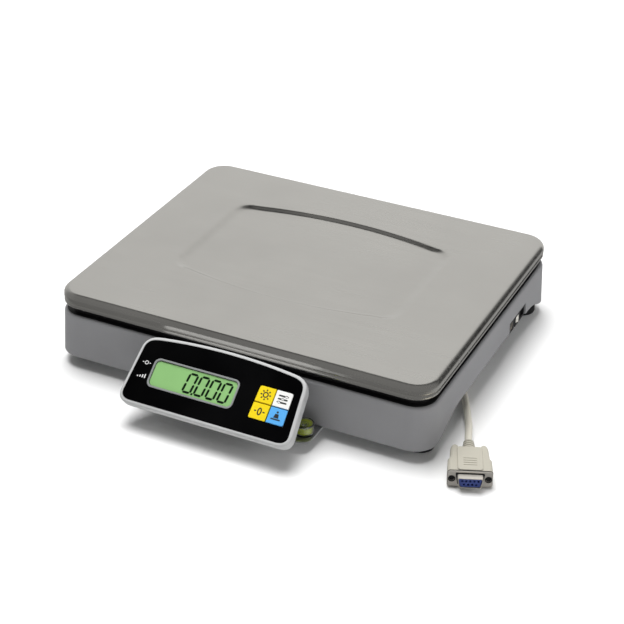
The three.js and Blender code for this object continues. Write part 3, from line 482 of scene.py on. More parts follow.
def rounded_rect(width, depth, radius, x=0.0, y=0.0, corner=10, side=1):
    """Anticlockwise, starting at the right end of the lower side; side is how many steps a side takes."""
    w, d = width / 2 - radius, depth / 2 - radius
    centres = ((w, -d), (w, d), (-w, d), (-w, -d))
    points = []
    for quarter, (cx, cy) in enumerate(centres):
        angles = (math.pi / 2 * (quarter - 1 + i / corner) for i in range(corner + 1))
        points += [(x + cx + radius * math.cos(a), y + cy + radius * math.sin(a)) for a in angles]
        (px, py), (nx, ny) = points[-1], centres[(quarter + 1) % 4]
        points += [(px + (nx - cx) * i / side, py + (ny - cy) * i / side) for i in range(1, side)]
    return points


def ellipse(width, height, x=0.0, y=0.0, sides=32):
    """Width and height are half of the real ones."""
    angles = (2 * math.pi * i / sides for i in range(sides))
    return [(x + width * math.cos(a), y + height * math.sin(a)) for a in angles]


def circle(radius, x=0.0, y=0.0, sides=32):
    return ellipse(radius, radius, x, y, sides)


def half_turn(steps=20):
    return [math.pi * i / steps for i in range(steps + 1)]


def ring_at(outline, z):
    return [(x, y, z) for x, y in outline]


def quarter_round(radius, steps=6):
    """(inset, drop) pairs from a flat top to a vertical side."""
    return [(radius * (1 - math.sin(a)), radius * (1 - math.cos(a)))
            for a in (math.pi / 2 * i / steps for i in range(steps + 1))]


# -------- weighing pan

SIDE_STEPS, CORNER_STEPS = 24, 10


def pan_ring(inset, z):
    outline = rounded_rect(PAN_WIDTH - 2 * inset, PAN_DEPTH - 2 * inset, PAN_CORNER - inset,
                           corner=CORNER_STEPS, side=SIDE_STEPS)
    return ring_at(outline, z)


def recess_ring(grow, z):
    """The dish's outline: its long sides bow outwards, and its ends slope half as steeply as they do."""
    cx, cy = RECESS_CENTRE
    w, d, r = RECESS_HALF[0] + 2 * grow, RECESS_HALF[1] + grow, RECESS_CORNER
    corners = (((w - r, -d), (w, 1 - d), (w, r - d)), ((w, d - r), (w, d - 1), (w - r, d)),
               ((r - w, d), (-w, d - 1), (-w, d - r)), ((-w, r - d), (-w, 1 - d), (r - w, -d)))
    pulls = ((w, 0), (0, d + 2 * RECESS_BOW), (-w, 0), (0, -d - 2 * RECESS_BOW))
    outline = []
    for index, (start, pull, end) in enumerate(corners):
        following = corners[(index + 1) % 4][0]
        outline.append(start)
        outline += quadratic(start, pull, end, CORNER_STEPS)
        outline += quadratic(end, pulls[index], following, SIDE_STEPS)[:-1]
    return [(cx + x, cy + y, z) for x, y in outline]


def make_pan():
    """One pressed sheet: a recess, the flat top, the round edge and a creased skirt that is rolled in."""
    floor, under = PAN_TOP - RECESS_DEPTH, PAN_TOP - PAN_SHEET
    slope = ((-4.4, 0), (-3.2, 0.05), (-2.2, 0.35), (-1.2, 0.9), (-0.4, 1.4), (0.3, 1.75), (1.0, 1.95),
             (1.8, RECESS_DEPTH))
    skirt = ((0, 1.4), (0.08, 0.8), (0.5, 0.15), (0.55, 0), (0.4, -0.3), (0.08, -1.0), (0, -1.7),
             (0.12, -2.6), (0.6, -3.5), (1.4, -4.0), (2.6, -4.15), (3.8, -3.9), (4.5, -3.2), (3.6, -2.6),
             (1.7, -2.2), (PAN_SHEET, -1.0))
    inner_edge = ((PAN_SHEET, PAN_TOP - 4.8), (2, PAN_TOP - 2.9), (4.4, under))
    inner_slope = ((2.4, under), (0.6, under - 0.4), (-2, floor - PAN_SHEET), (-14, floor - PAN_SHEET))
    rings = [recess_ring(-14, floor)]
    rings += [recess_ring(grow, floor + rise) for grow, rise in slope]
    rings.append(pan_ring(PAN_ROUND + 1, PAN_TOP))
    rings += [pan_ring(inset, PAN_TOP - drop) for inset, drop in quarter_round(PAN_ROUND, 11)]
    rings += [pan_ring(inset, PAN_CREASE + rise) for inset, rise in skirt]
    rings += [pan_ring(inset, z) for inset, z in inner_edge]
    rings += [recess_ring(grow, z) for grow, z in inner_slope]
    finish_piece("pan_sheet", loft(rings), "pan", "pan_steel", ["weighing_pan"])


# -------- base housing

def arch_points():
    """Y and Z along the raised part of each side's lower edge."""
    points = [(-108, BASE_BOTTOM)]
    points += cubic(points[-1], (-96, BASE_BOTTOM), (-86, ARCH_HEIGHT), (-64, ARCH_HEIGHT), 16)
    points += cubic(points[-1], (-10, ARCH_HEIGHT + 0.6), (50, ARCH_HEIGHT + 0.4),
                    (86, ARCH_HEIGHT - 2.5), 24)
    points += cubic(points[-1], (98, ARCH_HEIGHT - 4.5), (102, BASE_BOTTOM), (114, BASE_BOTTOM), 16)
    return points


ARCH = arch_points()


def lower_edge(x, y):
    if abs(x) < 130 or not ARCH[0][0] < y < ARCH[-1][0]:
        return BASE_BOTTOM
    if x > 0 and NOTCH[0] < y < NOTCH[1]:
        return SOCKET_TOP + 1
    after = next(i for i, point in enumerate(ARCH) if point[0] >= y)
    (y0, z0), (y1, z1) = ARCH[after - 1], ARCH[after]
    return z0 + (z1 - z0) * (y - y0) / (y1 - y0)


def side_places():
    """Where a side wall has points, as shares of its straight length; closely on both sides of the notch."""
    half = PAN_DEPTH / 2 - PAN_CORNER
    even = [-half + 2 * half * i / 72 for i in range(1, 72)]
    steps = [edge + offset for edge in NOTCH for offset in (-0.04, 0.04)]
    return [y / half for y in sorted(even + steps)]


def wall_ring(width, depth, radius, height):
    """A closed ring with the base's point layout; height gives Z from X and Y."""
    w, d = width / 2 - radius, depth / 2 - radius
    along = side_places()
    across = [i / 30 for i in range(-29, 30)]
    outline = []
    for quarter, (cx, cy) in enumerate(((w, -d), (w, d), (-w, d), (-w, -d))):
        for i in range(CORNER_STEPS + 1):
            angle = math.pi / 2 * (quarter - 1 + i / CORNER_STEPS)
            outline.append((cx + radius * math.cos(angle), cy + radius * math.sin(angle)))
        outline += ([(width / 2, d * f) for f in along], [(-w * f, depth / 2) for f in across],
                    [(-width / 2, d * f) for f in reversed(along)],
                    [(w * f, -depth / 2) for f in across])[quarter]
    points = []
    for x, y in outline:
        z = height(x, y)
        growth = 2 * BASE_DRAFT * (BASE_TOP - z) / (BASE_TOP - BASE_BOTTOM)
        points.append((x * (1 + growth / PAN_WIDTH), y * (1 + growth / PAN_DEPTH), z))
    return points


def base_ring(inset, height):
    return wall_ring(PAN_WIDTH - 2 * inset, PAN_DEPTH - 2 * inset, PAN_CORNER - inset, height)


def level(z):
    return lambda x, y: z


def make_base_deck():
    """The top inside the grey rim, with the opening that the load cell comes through; its black is painted
    shade for the dark gap under the pan.
    """
    under, seat, rim = BASE_TOP - 3, BASE_RIM - 2, BASE_SHOULDER + 0.02
    outer = ((rim, BASE_RIM - 1.9), (rim, BASE_RIM - 0.02), (6.5, BASE_RIM - 0.02), (7.1, BASE_RIM + 0.5),
             (7.3, BASE_TOP - 0.5), (7.8, BASE_TOP), (9, BASE_TOP))
    inner = ((12, under), (9.8, under - 0.6), (9.2, seat), (4, seat))
    width, depth, radius = DECK_OPENING
    rings = [base_ring(inset, level(z)) for inset, z in outer]
    rings += [wall_ring(width + 1, depth + 1, radius + 0.5, level(BASE_TOP)),
              wall_ring(width, depth, radius, level(BASE_TOP - 0.5)),
              wall_ring(width, depth, radius, level(under))]
    rings += [base_ring(inset, level(z)) for inset, z in inner]
    # Painted shade: the deck and its flat rim are coloured black for the shadow under the pan.
    finish_piece("base_deck_painted_shade", loft(rings, wrap=True), "base", "black_plastic", ["base_housing"])


def make_base_shell():
    """The grey walls, with the socket panel set in the right one and two bosses for the bracket's screws."""
    shoulder = BASE_RIM - BASE_SHOULDER

    def above_edge(share, lift=0.0):
        return lambda x, y: lower_edge(x, y) + lift + (shoulder - lower_edge(x, y)) * share

    rings = [base_ring(0.55, above_edge(0)), base_ring(0.15, above_edge(0, 0.12)),
             base_ring(0, above_edge(0, 0.5))]
    rings += [base_ring(0, above_edge(share)) for share in (0.1, 0.35, 0.65, 0.97)]
    rings += [base_ring(inset, level(BASE_RIM - drop))
              for inset, drop in reversed(quarter_round(BASE_SHOULDER, 8))]
    rings += [base_ring(BASE_SHOULDER, level(BASE_RIM - 2)), base_ring(BASE_WALL, level(BASE_RIM - 2.2)),
              base_ring(BASE_WALL, level(BASE_RIM - 4)), base_ring(BASE_WALL, above_edge(0.5)),
              base_ring(BASE_WALL, above_edge(0, 0.4)), base_ring(BASE_WALL - 0.4, above_edge(0))]
    front, back = NOTCH[0] - 3, NOTCH[1] + 3
    edges = [front, *(y for span in SOCKET_SPANS for y in span), back]
    panel_x = (145.4, 148.8)
    panel = [(*panel_x, y0, y1, SOCKET_BOTTOM, SOCKET_TOP) for y0, y1 in zip(edges[::2], edges[1::2])]
    panel += [(*panel_x, front, back, SOCKET_BOTTOM - 1.6, SOCKET_BOTTOM),
              (*panel_x, front, back, SOCKET_TOP, SOCKET_TOP + 5)]
    bosses = [(x - 6, x + 6, -124.5, -106, BRACKET[1] + 0.3, 20.7) for x in (-50, 50)]
    shell = merged(loft(rings, wrap=True), boxes(*panel), boxes(*bosses))
    finish_piece("base_shell", shell, "base", "base_plastic", ["base_housing"])


# -------- load cell

def make_load_cell():
    """The load cell's beam, copied from its CAD part, between its end on the floor plate and its end under
    the platform's spider.
    """
    mesh = bpy.data.meshes.new_from_object(frame["nodes"]["load_cell"])
    mesh.materials.clear()
    mesh.materials.append(SLOT_MATERIAL["cell_aluminium"])
    piece = bpy.data.objects.new("load_cell_beam", mesh)
    bpy.context.scene.collection.objects.link(piece)
    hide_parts("load_cell")
    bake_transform(piece)


# -------- display unit, in its own drawing plane

def display_ring(inset):
    """Anticlockwise outline of the display, X to the right and Y up its slope."""
    def side(y):
        return 68.6 - 0.075 * y - inset

    i = inset
    shoulder = 53.2 - i
    low, corner = (58 - i * 0.4, i), (side(10), 10)
    right = [low]
    right += cubic(low, (64, i), (side(3), 3 + i), corner, 12)
    right += [(side(y), y) for y in (16, 24, 32, 42)]
    top = (53 - i * 0.4, shoulder)
    right += cubic(right[-1], (side(48), 48), (61.5 - i, shoulder - 0.9), top, 12)
    crown = quadratic(top, (0, shoulder + 6.2), (-top[0], shoulder), 30)[:-1]
    left = [(-x, y) for x, y in reversed(right)]
    foot = [(-low[0] + 2 * low[0] * share / 24, i) for share in range(1, 24)]
    return right + crown + left + foot


def lcd_outline(inset):
    width, height = LCD_SIZE
    return rounded_rect(width - 2 * inset, height - 2 * inset, 4.6 - inset * 0.8, *LCD_CENTRE, corner=8)


def keypad_outline(grow):
    cx, cy = KEYPAD_CENTRE
    half, tall = KEY_PITCH[0] + grow, KEY_PITCH[1] - KEY_GAP / 2 + grow
    return [(cx - half - KEY_FLARE, cy - tall), (cx + half + KEY_FLARE, cy - tall),
            (cx + half - KEY_FLARE, cy + tall), (cx - half + KEY_FLARE, cy + tall)]


def make_display_shells():
    face = [(0.4, -DISPLAY_FRONT_DEPTH), (0.1, -6.4), (0, -6.1)]
    face += [(inset, -drop) for inset, drop in reversed(quarter_round(1.8, 7))]
    face += [(2.15, 0), (2.35, -0.1), (2.4, -0.35), (2.4, -1.1), (9, -1.1), (9, -2.9), (2.3, -2.9),
             (2.2, -DISPLAY_FRONT_DEPTH)]
    front = loft([ring_at(display_ring(inset), z) for inset, z in face], wrap=True)
    finish_piece("display_face_shell", front, "display", "display_plastic", ["display_front"], DISPLAY)
    seam = -DISPLAY_FRONT_DEPTH - 0.3
    bowl = [(2.9, -10.5), (2.9, seam), (1.1, seam), (0.85, seam - 0.1), (0.8, seam - 0.4)]
    bowl += [(0.8 + drop, inset - DISPLAY_DEPTH) for inset, drop in quarter_round(DISPLAY_BACK_ROUND, 8)]
    skin = loft([ring_at(display_ring(inset), z) for inset, z in bowl], cap=False)
    wells = [circle(2.9, x, 8, 28) for x in (-57, 57)]
    back = plate([display_ring(4.9), *wells], -DISPLAY_DEPTH, -DISPLAY_DEPTH + 1.7)
    pivot, r = DISPLAY.inverted() @ MACHINE @ Vector((0, *PIVOT)), 4.5
    lug = [(pivot.y + r, -12.3), (pivot.y - r, -12.3)]
    lug += [(pivot.y - r * math.cos(a), pivot.z - r * math.sin(a)) for a in half_turn()]
    lugs = [moved(plate([lug, circle(2.3, pivot.y, pivot.z, 24)], -2, 2), SIDEWAYS,
                  Matrix.Translation((x, 0, 0))) for x in (-40, 40)]
    finish_piece("display_back_shell", merged(skin, back, *lugs), "display", "display_plastic",
                 ["display_rear"], DISPLAY)


def make_display_window():
    sheet = plate([display_ring(2.7), lcd_outline(-0.3), keypad_outline(0.3)], -0.8, -0.06)
    finish_piece("display_black_overlay", sheet, "display", "overlay_black", ["display_overlay"], DISPLAY)
    rim = plate([lcd_outline(0), lcd_outline(LCD_RIM)], -2.9, 0.15, 0.3, 3)
    finish_piece("lcd_bright_rim", rim, "display", "nickel", ["lcd_rim"], DISPLAY, material=RIM_GREY)
    glass = plate([lcd_outline(LCD_RIM + 0.3)], -3.4, -0.9)
    finish_piece("lcd_glass", glass, "display", "lcd", ["lcd_panel"], DISPLAY)
    finish_piece("lcd_digits", lcd_digits(), "display", "lcd", space=DISPLAY, material=INK)


def bar(ax, ay, bx, by, half):
    """A segment of a number: a bar with pointed ends from (ax, ay) to (bx, by)."""
    along = Vector((bx - ax, by - ay)).normalized() * half
    across = Vector((-along.y, along.x))
    a, b = Vector((ax, ay)), Vector((bx, by))
    points = (a, a + along - across, b - along - across, b, b - along + across, a + along + across)
    return [tuple(p) for p in points]


def lcd_digits():
    """Reads 0.000 in slanted seven-segment figures."""
    width, height, pitch, half = 6.2, 14.0, 9.2, 0.85
    low, gap, slant, last = 19.3, 0.22, math.tan(math.radians(6)), 5.0
    middle = low + height / 2
    outlines = []
    for place in range(4):
        x = last - pitch * (3 - place)
        corners = ((x, low), (x + width, low), (x + width, middle), (x + width, low + height),
                   (x, low + height), (x, middle))
        for (ax, ay), (bx, by) in zip(corners, corners[1:] + corners[:1]):
            along = Vector((bx - ax, by - ay)).normalized() * gap
            outlines.append(bar(ax + along.x, ay + along.y, bx - along.x, by - along.y, half))
        if place == 0:
            left, right = x + width + 0.8, x + width + 2.4
            outlines.append([(left, low - 1.0), (right, low - 1.0), (right, low + 0.6), (left, low + 0.6)])
    leaned = [[(x + (y - low) * slant, y) for x, y in outline] for outline in outlines]
    return plate(leaned, -0.89, -0.84)


def key_outline(column, row):
    """One key of the two-by-two pad, with its outer corner rounded; column and row are -1 or +1."""
    pitch_x, pitch_y = KEY_PITCH
    inner, r = KEY_GAP / 2, 1.7
    near, far = (pitch_x, pitch_x - KEY_FLARE) if row > 0 else (pitch_x + KEY_FLARE, pitch_x)
    low = inner if row > 0 else inner - pitch_y
    high = low + pitch_y - KEY_GAP
    if row > 0:
        points = [(inner, low), (near, low), (far + 0.06 * r, high - r)]
        points += quadratic(points[-1], (far, high), (far - r, high), 8) + [(inner, high)]
    else:
        points = [(inner, low), (near - r, low)]
        points += quadratic(points[-1], (near, low), (near - 0.06 * r, low + r), 8)
        points += [(far, high), (inner, high)]
    cx, cy = KEYPAD_CENTRE
    return [(cx + column * x, cy + y) for x, y in points]


def lamp_sign(x, y):
    rays = [(math.cos(a), math.sin(a)) for a in (math.pi / 4 * ray for ray in range(8))]
    return [circle(2.2, x, y, 24), circle(1.3, x, y, 24),
            *(bar(x + 2.5 * c, y + 2.5 * s, x + 4.2 * c, y + 4.2 * s, 0.55) for c, s in rays)]


def mode_sign(x, y):
    """Three sliders, each with its knob at another place."""
    outlines = []
    for row in (-1, 0, 1):
        height = y + row * 2.4
        outlines += [bar(x - 3.9, height, x + 3.9, height, 0.55),
                     circle(0.95, x + row * 2.1, height + 0.001, 16)]
    return outlines


def zero_sign(x, y):
    return [ellipse(1.7, 2.9, x, y), ellipse(0.75, 1.9, x, y), bar(x - 4.3, y, x - 2.3, y, 0.5),
            bar(x + 2.3, y, x + 4.3, y, 0.5)]


def tare_sign(x, y):
    """A weight on a tray."""
    return [bar(x - 3.8, y - 2.4, x + 3.8, y - 2.4, 0.5), circle(0.8, x, y + 2.9, 20),
            [(x - 1.9, y - 1.4), (x + 1.9, y - 1.4), (x + 1.3, y + 1.6), (x - 1.3, y + 1.6)]]


def make_keys():
    for node, column, row, slot, sign in (
            ("key_power", -1, 1, "key_yellow", lamp_sign), ("key_function", 1, 1, "key_white", mode_sign),
            ("key_zero", -1, -1, "key_yellow", zero_sign), ("key_tare", 1, -1, "key_blue", tare_sign)):
        cap = plate([key_outline(column, row)], -2.5, 0.3, 0.35, 3)
        finish_piece(node + "_cap", cap, node, slot, [node], DISPLAY)
        x, y = KEYPAD_CENTRE[0] + column * KEY_PITCH[0] / 2, KEYPAD_CENTRE[1] + row * KEY_PITCH[1] / 2
        mark = plate(sign(x, y), 0.29, 0.34)
        finish_piece(node + "_mark", mark, node, "overlay_black", space=DISPLAY, material=MARK_DARK)


def make_side_marks():
    """Two small status signs left of the window: a ring between dashes, and rising bars."""
    x, y = -56.2, 32.3
    signs = [circle(1.5, x, y, 20), circle(1.0, x, y, 20), bar(x - 3.4, y, x - 2, y, 0.3),
             bar(x + 2, y, x + 3.4, y, 0.3)]
    x, y = -59.2, 20.6
    signs += [bar(x + 1.9 * i, y, x + 1.9 * i, y + 1.3 + 0.7 * i, 0.45) for i in range(4)]
    finish_piece("status_marks", plate(signs, -0.055, -0.02), "display", "key_white", space=DISPLAY,
                 material=MARK_PALE)


# -------- bracket and spirit level

def make_bracket():
    low, high = BRACKET
    y, z = PIVOT
    screws = [circle(1.9, x, -114, 20) for x in (-50, 50)]
    sheet = plate([rounded_rect(141, 46, 8, 0, -127), *screws], low, high, 0.3, 3)
    ear = [(y - 5, high - 0.5), (y + 5, high - 0.5)]
    ear += [(y + 5 * math.cos(a), z + 5 * math.sin(a)) for a in half_turn()]
    ears = [moved(plate([ear, circle(2.3, y, z, 24)], -0.75, 0.75, 0.15), SIDEWAYS,
                  Matrix.Translation((x, 0, 0))) for x in (-43.05, 43.05)]
    finish_piece("bracket_plate", merged(sheet, *ears), "base", "sheet_steel", ["display_bracket"])


def make_level():
    at = Matrix.Translation((*LEVEL_AT, 0))
    foot, r = BRACKET[1] + 0.3, LEVEL_RADIUS
    low, inner, top = foot + 1.5, r - 1.2, foot + 6.8
    cup = [(0, foot), (r - 0.3, foot), (r, foot + 0.3), (r, foot + 8.1), (r - 0.3, foot + 8.4),
           (r - 0.7, foot + 8.4), (r - 0.9, foot + 8.2), (r - 0.9, foot + 1.2), (0, foot + 1.2)]
    finish_piece("level_vial", moved(turned(cup), at), "base", "clear_plastic", ["level_cup"])
    fluid = [(0, low), (inner - 0.3, low), (inner, low + 0.3), (inner, low + 5), (2.3, low + 5),
             (1.7, low + 4.4), (0, low + 4.1)]
    finish_piece("level_fluid_fill", moved(turned(fluid), at), "base", "level_fluid", ["level_liquid"])
    bubble = [(0, low + 4.3), (1.0, low + 4.45), (1.7, low + 4.8), (1.9, low + 5), (0, low + 5)]
    finish_piece("level_air_bubble", moved(turned(bubble, 32), at), "base", "clear_plastic", ["level_bubble"])
    lens = [(0, top), (inner, top), (inner, top + 1.1), (inner - 1.2, top + 1.5), (inner * 0.5, top + 1.8),
            (0, top + 1.9)]
    finish_piece("level_window", moved(turned(lens), at), "base", "clear_plastic", ["level_lens"])
    ring = plate([circle(2.9, sides=40), circle(2.6, sides=40)], low + 5.02, low + 5.12)
    finish_piece("level_ring_mark", moved(ring, at), "base", "overlay_black", material=MARK_DARK)


# -------- feet

def make_feet():
    for corner in ("front_left", "front_right", "rear_left", "rear_right"):
        low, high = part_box("foot_pad_" + corner)
        pad, stud = "foot_pad_" + corner, "foot_stud_" + corner
        at = Matrix.Translation(((low.x + high.x) / 2 / MM, ((low.y + high.y) / 2 - SHIFT_Y) / MM, 0))
        r = (high.x - low.x) / 2 / MM
        rubber = [(0, 0.5), (r - 6, 0.5), (r - 5.6, 0), (r - 1.0, 0), (r - 0.3, 0.4), (r, 1.2), (r, 1.9),
                  (r - 0.35, 2.15), (r - 0.35, 2.45), (r, 2.7), (r, 4.9), (r - 0.4, 5.6), (r - 1.2, 6.1),
                  (7.6, 7.0), (6.9, 7.7), (6.6, 8.7), (6.2, 9), (4.6, 9), (4.35, 8.7), (4.3, 3), (0, 3)]
        finish_piece("foot_rubber_" + corner, moved(turned(rubber, 56), at), pad, "black_rubber", [pad])
        thread = [(3.45 if step % 2 else 4.0, 4.3 + step * 0.625) for step in range(46)]
        rod = [(0, 3.3), (3.4, 3.3), (3.9, 3.8), *thread, (3.2, 33.6), (0, 34)]
        finish_piece("foot_rod_" + corner, moved(turned(rod, 28), at), stud, "fastener_steel", [stud],
                     angle=60)


# -------- RS-232 lead and its plug

def lead_start_points():
    """Out of the gland, down to the floor, and back to the coil's outermost turn."""
    x, y, z = LEAD_EXIT
    return [(x, y, z), (x, y + 7.7, z - 0.6), (x, y + 19.7, z - 5), (x, y + 31.7, LEAD_Z + 3),
            (x, y + 43.7, LEAD_Z + 0.5), (x, y + 57.7, LEAD_Z),
            (COIL_CENTRE[0] - COIL_LANE, COIL_CENTRE[1] - 20.5, LEAD_Z)]


def lead_end_points():
    """From the coil, forwards under the base, out past its right side and up into the plug."""
    out = COIL_CENTRE[0] + COIL_LANE
    c, s = math.cos(PLUG_HEADING), math.sin(PLUG_HEADING)
    px, py = PLUG_BACK
    return [(out, COIL_CENTRE[1] - 20.5, LEAD_Z), (out, 130, LEAD_Z), (out + 1, 110, LEAD_Z),
            (63, 88, LEAD_Z), (76, 62, LEAD_Z), (94, 35, LEAD_Z), (114, 10, LEAD_Z), (131, -12, LEAD_Z),
            (142, -32, LEAD_Z), (149, -46, LEAD_Z + 0.6), (155, -59, LEAD_Z + 1.8),
            (161, -72.5, LEAD_Z + 3.3), (px - 6 * c, py - 6 * s, PLUG_Z - 0.5),
            (px - 0.3 * c, py - 0.3 * s, PLUG_Z)]


def coil_points():
    """Clockwise turns that work inwards on the lower layer and outwards again on the upper one."""
    points = []
    steps = int(COIL_TURNS * 28)
    for step in range(steps + 1):
        turn = COIL_TURNS * step / steps
        inward = min(turn, 2) if turn < 2.5 else max(0, 5 - turn)
        radius = COIL_LANE - 2 * CABLE_RADIUS * min(2, inward)
        climb = min(1, max(0, (turn - 2.2) / 0.6))
        height = COIL_Z + 2 * CABLE_RADIUS * climb * climb * (3 - 2 * climb)
        angle = math.pi - 2 * math.pi * turn
        points.append((COIL_CENTRE[0] + radius * math.cos(angle), COIL_CENTRE[1] + radius * math.sin(angle),
                       height))
    return points


def smooth_line(points, step=3.0):
    """Points about a step apart on a centripetal curve through the given ones."""
    route = [Vector(p) for p in points]
    route = [2 * route[0] - route[1], *route, 2 * route[-1] - route[-2]]
    line = [route[1]]
    for four in zip(route, route[1:], route[2:], route[3:]):
        knots = [0.0]
        for a, b in zip(four, four[1:]):
            knots.append(knots[-1] + max(1e-6, (b - a).length) ** 0.5)
        pieces = max(1, round((four[2] - four[1]).length / step))
        for i in range(1, pieces + 1):
            now = knots[1] + (knots[2] - knots[1]) * i / pieces

            def between(pair, start, end):
                share = (now - knots[start]) / (knots[end] - knots[start])
                return pair[0] * (1 - share) + pair[1] * share

            first = [between(four[k:k + 2], k, k + 1) for k in range(3)]
            second = [between(first[k:k + 2], k, k + 2) for k in range(2)]
            line.append(between(second, 1, 2))
    return line


def make_lead():
    line = smooth_line([*lead_start_points(), *coil_points(), *lead_end_points()])
    curve = bpy.data.curves.new("serial_lead", "CURVE")
    curve.dimensions = "3D"
    curve.bevel_depth = CABLE_RADIUS * MM
    curve.bevel_resolution = 5
    curve.use_fill_caps = True
    spline = curve.splines.new("POLY")
    spline.points.add(len(line) - 1)
    for point, place in zip(spline.points, line):
        place.z = max(place.z, LEAD_Z)
        point.co = (*(MACHINE @ place), 1)
    spline.use_smooth = True
    curve.materials.append(SLOT_MATERIAL["lead_beige"])
    lead = bpy.data.objects.new("serial_lead", curve)
    bpy.context.scene.collection.objects.link(lead)
    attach(lead, "base")
    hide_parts("lead_start", "lead_coil", "lead_end")


# -------- plug; X runs towards its contacts

def hood_ring(inset, z):
    """The moulding's outline: one side from the flange back to the lead, then its mirror image."""
    i = inset
    half = [(HOOD_FRONT - i * 0.5, 15.5 - i), (RELIEF + 15, 15.2 - i), (RELIEF + 13.2, 14.2 - i),
            (RELIEF + 12, 13.9 - i)]
    half += cubic(half[-1], (RELIEF + 5, 13.3 - i), (RELIEF - 1, 13.6 - i),
                  (RELIEF - 2.6 + i, 11.4 - i * 0.6), 8)
    half += cubic(half[-1], (RELIEF - 3.4 + i, 9.9), (RELIEF - 3.2 + i, 8.7),
                  (RELIEF + 0.4 + i, 7.5 - i * 0.3), 8)
    half.append((RELIEF + 0.6 + i, 3 - i * 0.2))
    return [(x, y, z) for x, y in half] + [(x, -y, z) for x, y in reversed(half)]


def make_plug_hood():
    """The lower body, the raised middle with its grips, and the ribbed strain relief behind."""
    top, bottom = 6.2, 0.25 - PLUG_Z
    rise = [(1.6, bottom), (0.8, bottom + 0.2), (0.2, bottom + 0.8), (0, bottom + 1.6), (0, -0.35),
            (0.25, -0.15), (0.25, 0.15), (0, 0.35)]
    rise += [(inset, top - drop) for inset, drop in reversed(quarter_round(2.4, 6))]
    body = loft([hood_ring(inset, z) for inset, z in rise])
    crown = top + 0.85
    saddle = plate([rounded_rect(HOOD_FRONT - RELIEF - 1.6, 17.6, 2.4, (HOOD_FRONT + RELIEF) / 2 + 0.5)],
                   top - 1.2, crown, 0.7, 3)
    grips = boxes(*((x - 0.35, x + 0.35, -4.6, 4.6, crown - 0.1, crown + 0.3)
                    for x in (HOOD_FRONT - 6 - 2.6 * i for i in range(4))))
    ribs = [(0, 0.02), (2.8, 0.02), (3.2, 0.3)]
    for index in range(4):
        x, r = 0.6 + index * 3.1, 3.75 + index * 0.45
        ribs += [(r - 0.35, x), (r, x + 0.25), (r + 0.1, x + 1.5), (r - 0.2, x + 1.8), (r - 0.95, x + 2.0),
                 (r - 0.95, x + 2.9)]
    relief = moved(turned([*ribs, (5, RELIEF + 1.8), (0, RELIEF + 2)], 40), SIDEWAYS)
    # The moulding's darker beige is painted shade on the lead's PVC.
    finish_piece("plug_moulding", merged(body, saddle, grips, relief), "base", "lead_beige", ["plug_hood"],
                 PLUG, angle=40, material=HOOD)


def shell_outline(half_width, half_height):
    """The D shape of the plug's metal shell, with rounded corners."""
    lean = half_height * 0.18
    corners = [Vector(c) for c in ((-half_width + lean, -half_height), (half_width - lean, -half_height),
                                   (half_width + lean, half_height), (-half_width - lean, half_height))]
    points = []
    for index, corner in enumerate(corners):
        before = corner + (corners[index - 1] - corner).normalized() * 1.5
        after = corner + (corners[(index + 1) % 4] - corner).normalized() * 1.5
        points += [tuple(before), *quadratic(before, corner, after, 6)]
    return points


def make_plug_front():
    """The metal shell, the blue face with its nine holes, the dark bed behind it, and dark rings: painted
    shade round the shell's foot and behind the flange's edge, and two rings round the screw holes.
    """
    low, screws = HOOD_FRONT + 0.3, (-PLUG_SCREW, PLUG_SCREW)
    flange = plate([rounded_rect(30.6, 12.3, 1.6), *(circle(1.75, y, 0, 20) for y in screws),
                    shell_outline(7.6, 3.4)], low, low + 0.8, 0.15)
    skirt = plate([shell_outline(8.2, 4.0), shell_outline(7.72, 3.52)], low + 0.6, low + 6.1, 0.1)
    shell = moved(merged(flange, skirt), SIDEWAYS)
    finish_piece("plug_metal_shell", shell, "base", "nickel", ["plug_shell"], PLUG)
    holes = [circle(0.8, (i - (count - 1) / 2) * 2.77, y, 12) for count, y in ((5, 1.42), (4, -1.42))
             for i in range(count)]
    face = plate([shell_outline(7.35, 3.15), *holes], low + 2.5, low + 5.5, 0.1)
    finish_piece("plug_blue_face", moved(face, SIDEWAYS), "base", "insert_blue", ["plug_insert"], PLUG)
    bed = plate([shell_outline(7.3, 3.1)], low + 0.1, low + 2.49)
    finish_piece("plug_contact_bed", moved(bed, SIDEWAYS), "base", "black_plastic", ["plug_insert"], PLUG)
    # Painted shade: a black ring round the shell's foot for the shadow there, and a black outline just wider
    # than the flange, behind it, for the shadow gap between flange and moulding. The two rings round the
    # screw holes are dark too.
    shell_shade_ring = plate([shell_outline(9.3, 5.0), shell_outline(8.22, 4.02)], low + 0.81, low + 0.95)
    screw_hole_rings = [plate([circle(2.5, y, 0, 24), circle(1.8, y, 0, 24)], low + 0.81, low + 1.1) for y in screws]
    flange_shade_edge = plate([rounded_rect(31, 13, 1.9), shell_outline(7.6, 3.4)], low - 0.28, low - 0.02)
    dark_rings = moved(merged(shell_shade_ring, flange_shade_edge, *screw_hole_rings), SIDEWAYS)
    finish_piece("plug_dark_rings", dark_rings, "base", "black_rubber", space=PLUG)


def make_tie():
    """The black strap round the coil's bundle."""
    half = 3 * CABLE_RADIUS
    low, high = 1.2, 1.3 + 4 * CABLE_RADIUS + 0.5
    inner, outer = COIL_RADIUS - half - 0.7, COIL_RADIUS + half + 0.7
    width, height = outer - inner, high - low + 0.2
    middle = ((inner + outer) / 2, (low + high) / 2)
    band = plate([rounded_rect(width + 1.9, height + 1.8, 2.6, *middle),
                  rounded_rect(width, height, 1.8, *middle)], -3.9, 3.9, 0.2)
    strap = moved(band, SIDEWAYS, Matrix.Translation((*COIL_CENTRE, 0)))
    finish_piece("coil_strap", strap, "base", "black_plastic", ["coil_tie"])


# -------- sockets in the right side

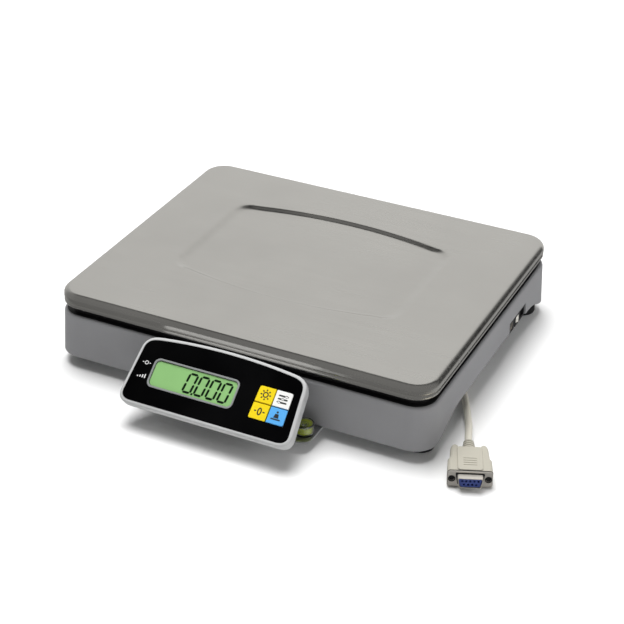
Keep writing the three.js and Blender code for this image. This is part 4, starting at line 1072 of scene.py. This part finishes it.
def socket_body(span, hole, x0, joint, x1):
    """A moulded block behind a face, from X0 to X1, with a hole in the face in front of the joint."""
    (y0, y1), z = span, (SOCKET_BOTTOM + SOCKET_TOP) / 2
    clearance = 0.04
    outline = rounded_rect(y1 - y0 - clearance, SOCKET_TOP - SOCKET_BOTTOM - clearance, 0.5, (y0 + y1) / 2, z)
    face = moved(plate([outline, hole], joint, x1, 0.25), SIDEWAYS)
    return merged(face, boxes((x0, joint + 0.01, *span, SOCKET_BOTTOM, SOCKET_TOP)))


def make_power_jack():
    y, z = sum(SOCKET_SPANS[0]) / 2, (SOCKET_BOTTOM + SOCKET_TOP) / 2
    jack = socket_body(SOCKET_SPANS[0], circle(3.6, y, z, 40), 134.05, 139, 150.18)
    finish_piece("jack_body", jack, "base", "black_plastic", ["power_jack"])
    pin = turned([(0, 138.8), (1, 138.8), (1, 148.8), (0.7, 149.15), (0, 149.18)], 28)
    finish_piece("jack_contact", moved(pin, SIDEWAYS, Matrix.Translation((0, y, z))), "base", "nickel")
    sleeve = plate([circle(3.58, y, z, 40), circle(3.25, y, z, 40)], 140, 149.6)
    finish_piece("jack_sleeve", moved(sleeve, SIDEWAYS), "base", "nickel")


def make_sockets():
    height, z = SOCKET_TOP - SOCKET_BOTTOM, (SOCKET_BOTTOM + SOCKET_TOP) / 2
    y0, y1 = SOCKET_SPANS[1][0] + 1.2, SOCKET_SPANS[1][1] - 1.2
    window = rounded_rect(y1 - y0, height - 2.4, 0.4, (y0 + y1) / 2, z)
    bezel = socket_body(SOCKET_SPANS[1], window, 136.05, 140, 150.28)
    finish_piece("switch_bezel", bezel, "base", "black_plastic", ["switch_frame"])
    y0, y1 = SOCKET_SPANS[2][0] + 1.1, SOCKET_SPANS[2][1] - 1.1
    window = rounded_rect(y1 - y0, height - 3.2, 0.4, (y0 + y1) / 2, z + 0.4)
    data = socket_body(SOCKET_SPANS[2], window, 136.05, 140, 150.08)
    finish_piece("data_socket_body", data, "base", "black_plastic", ["data_socket"])
    contacts = boxes(*((140.01, 148.6, y - 0.2, y + 0.2, SOCKET_TOP - 2.1, SOCKET_TOP - 1.75)
                       for y in (y0 + 1.2 + 1.02 * i for i in range(6))))
    finish_piece("data_socket_contacts", contacts, "base", "nickel")


# -------- everything together

make_pan()
make_base_deck()
make_base_shell()
make_load_cell()
make_display_shells()
make_display_window()
make_keys()
make_side_marks()
make_bracket()
make_level()
make_feet()
make_plug_hood()
make_plug_front()
make_tie()
make_power_jack()
make_sockets()
make_lead()

for part in frame["record"]["subparts"]:
    shown = frame["nodes"][part["node"]].data.materials
    shown.clear()
    shown.append(SLOT_MATERIAL[part["material_slot"]])
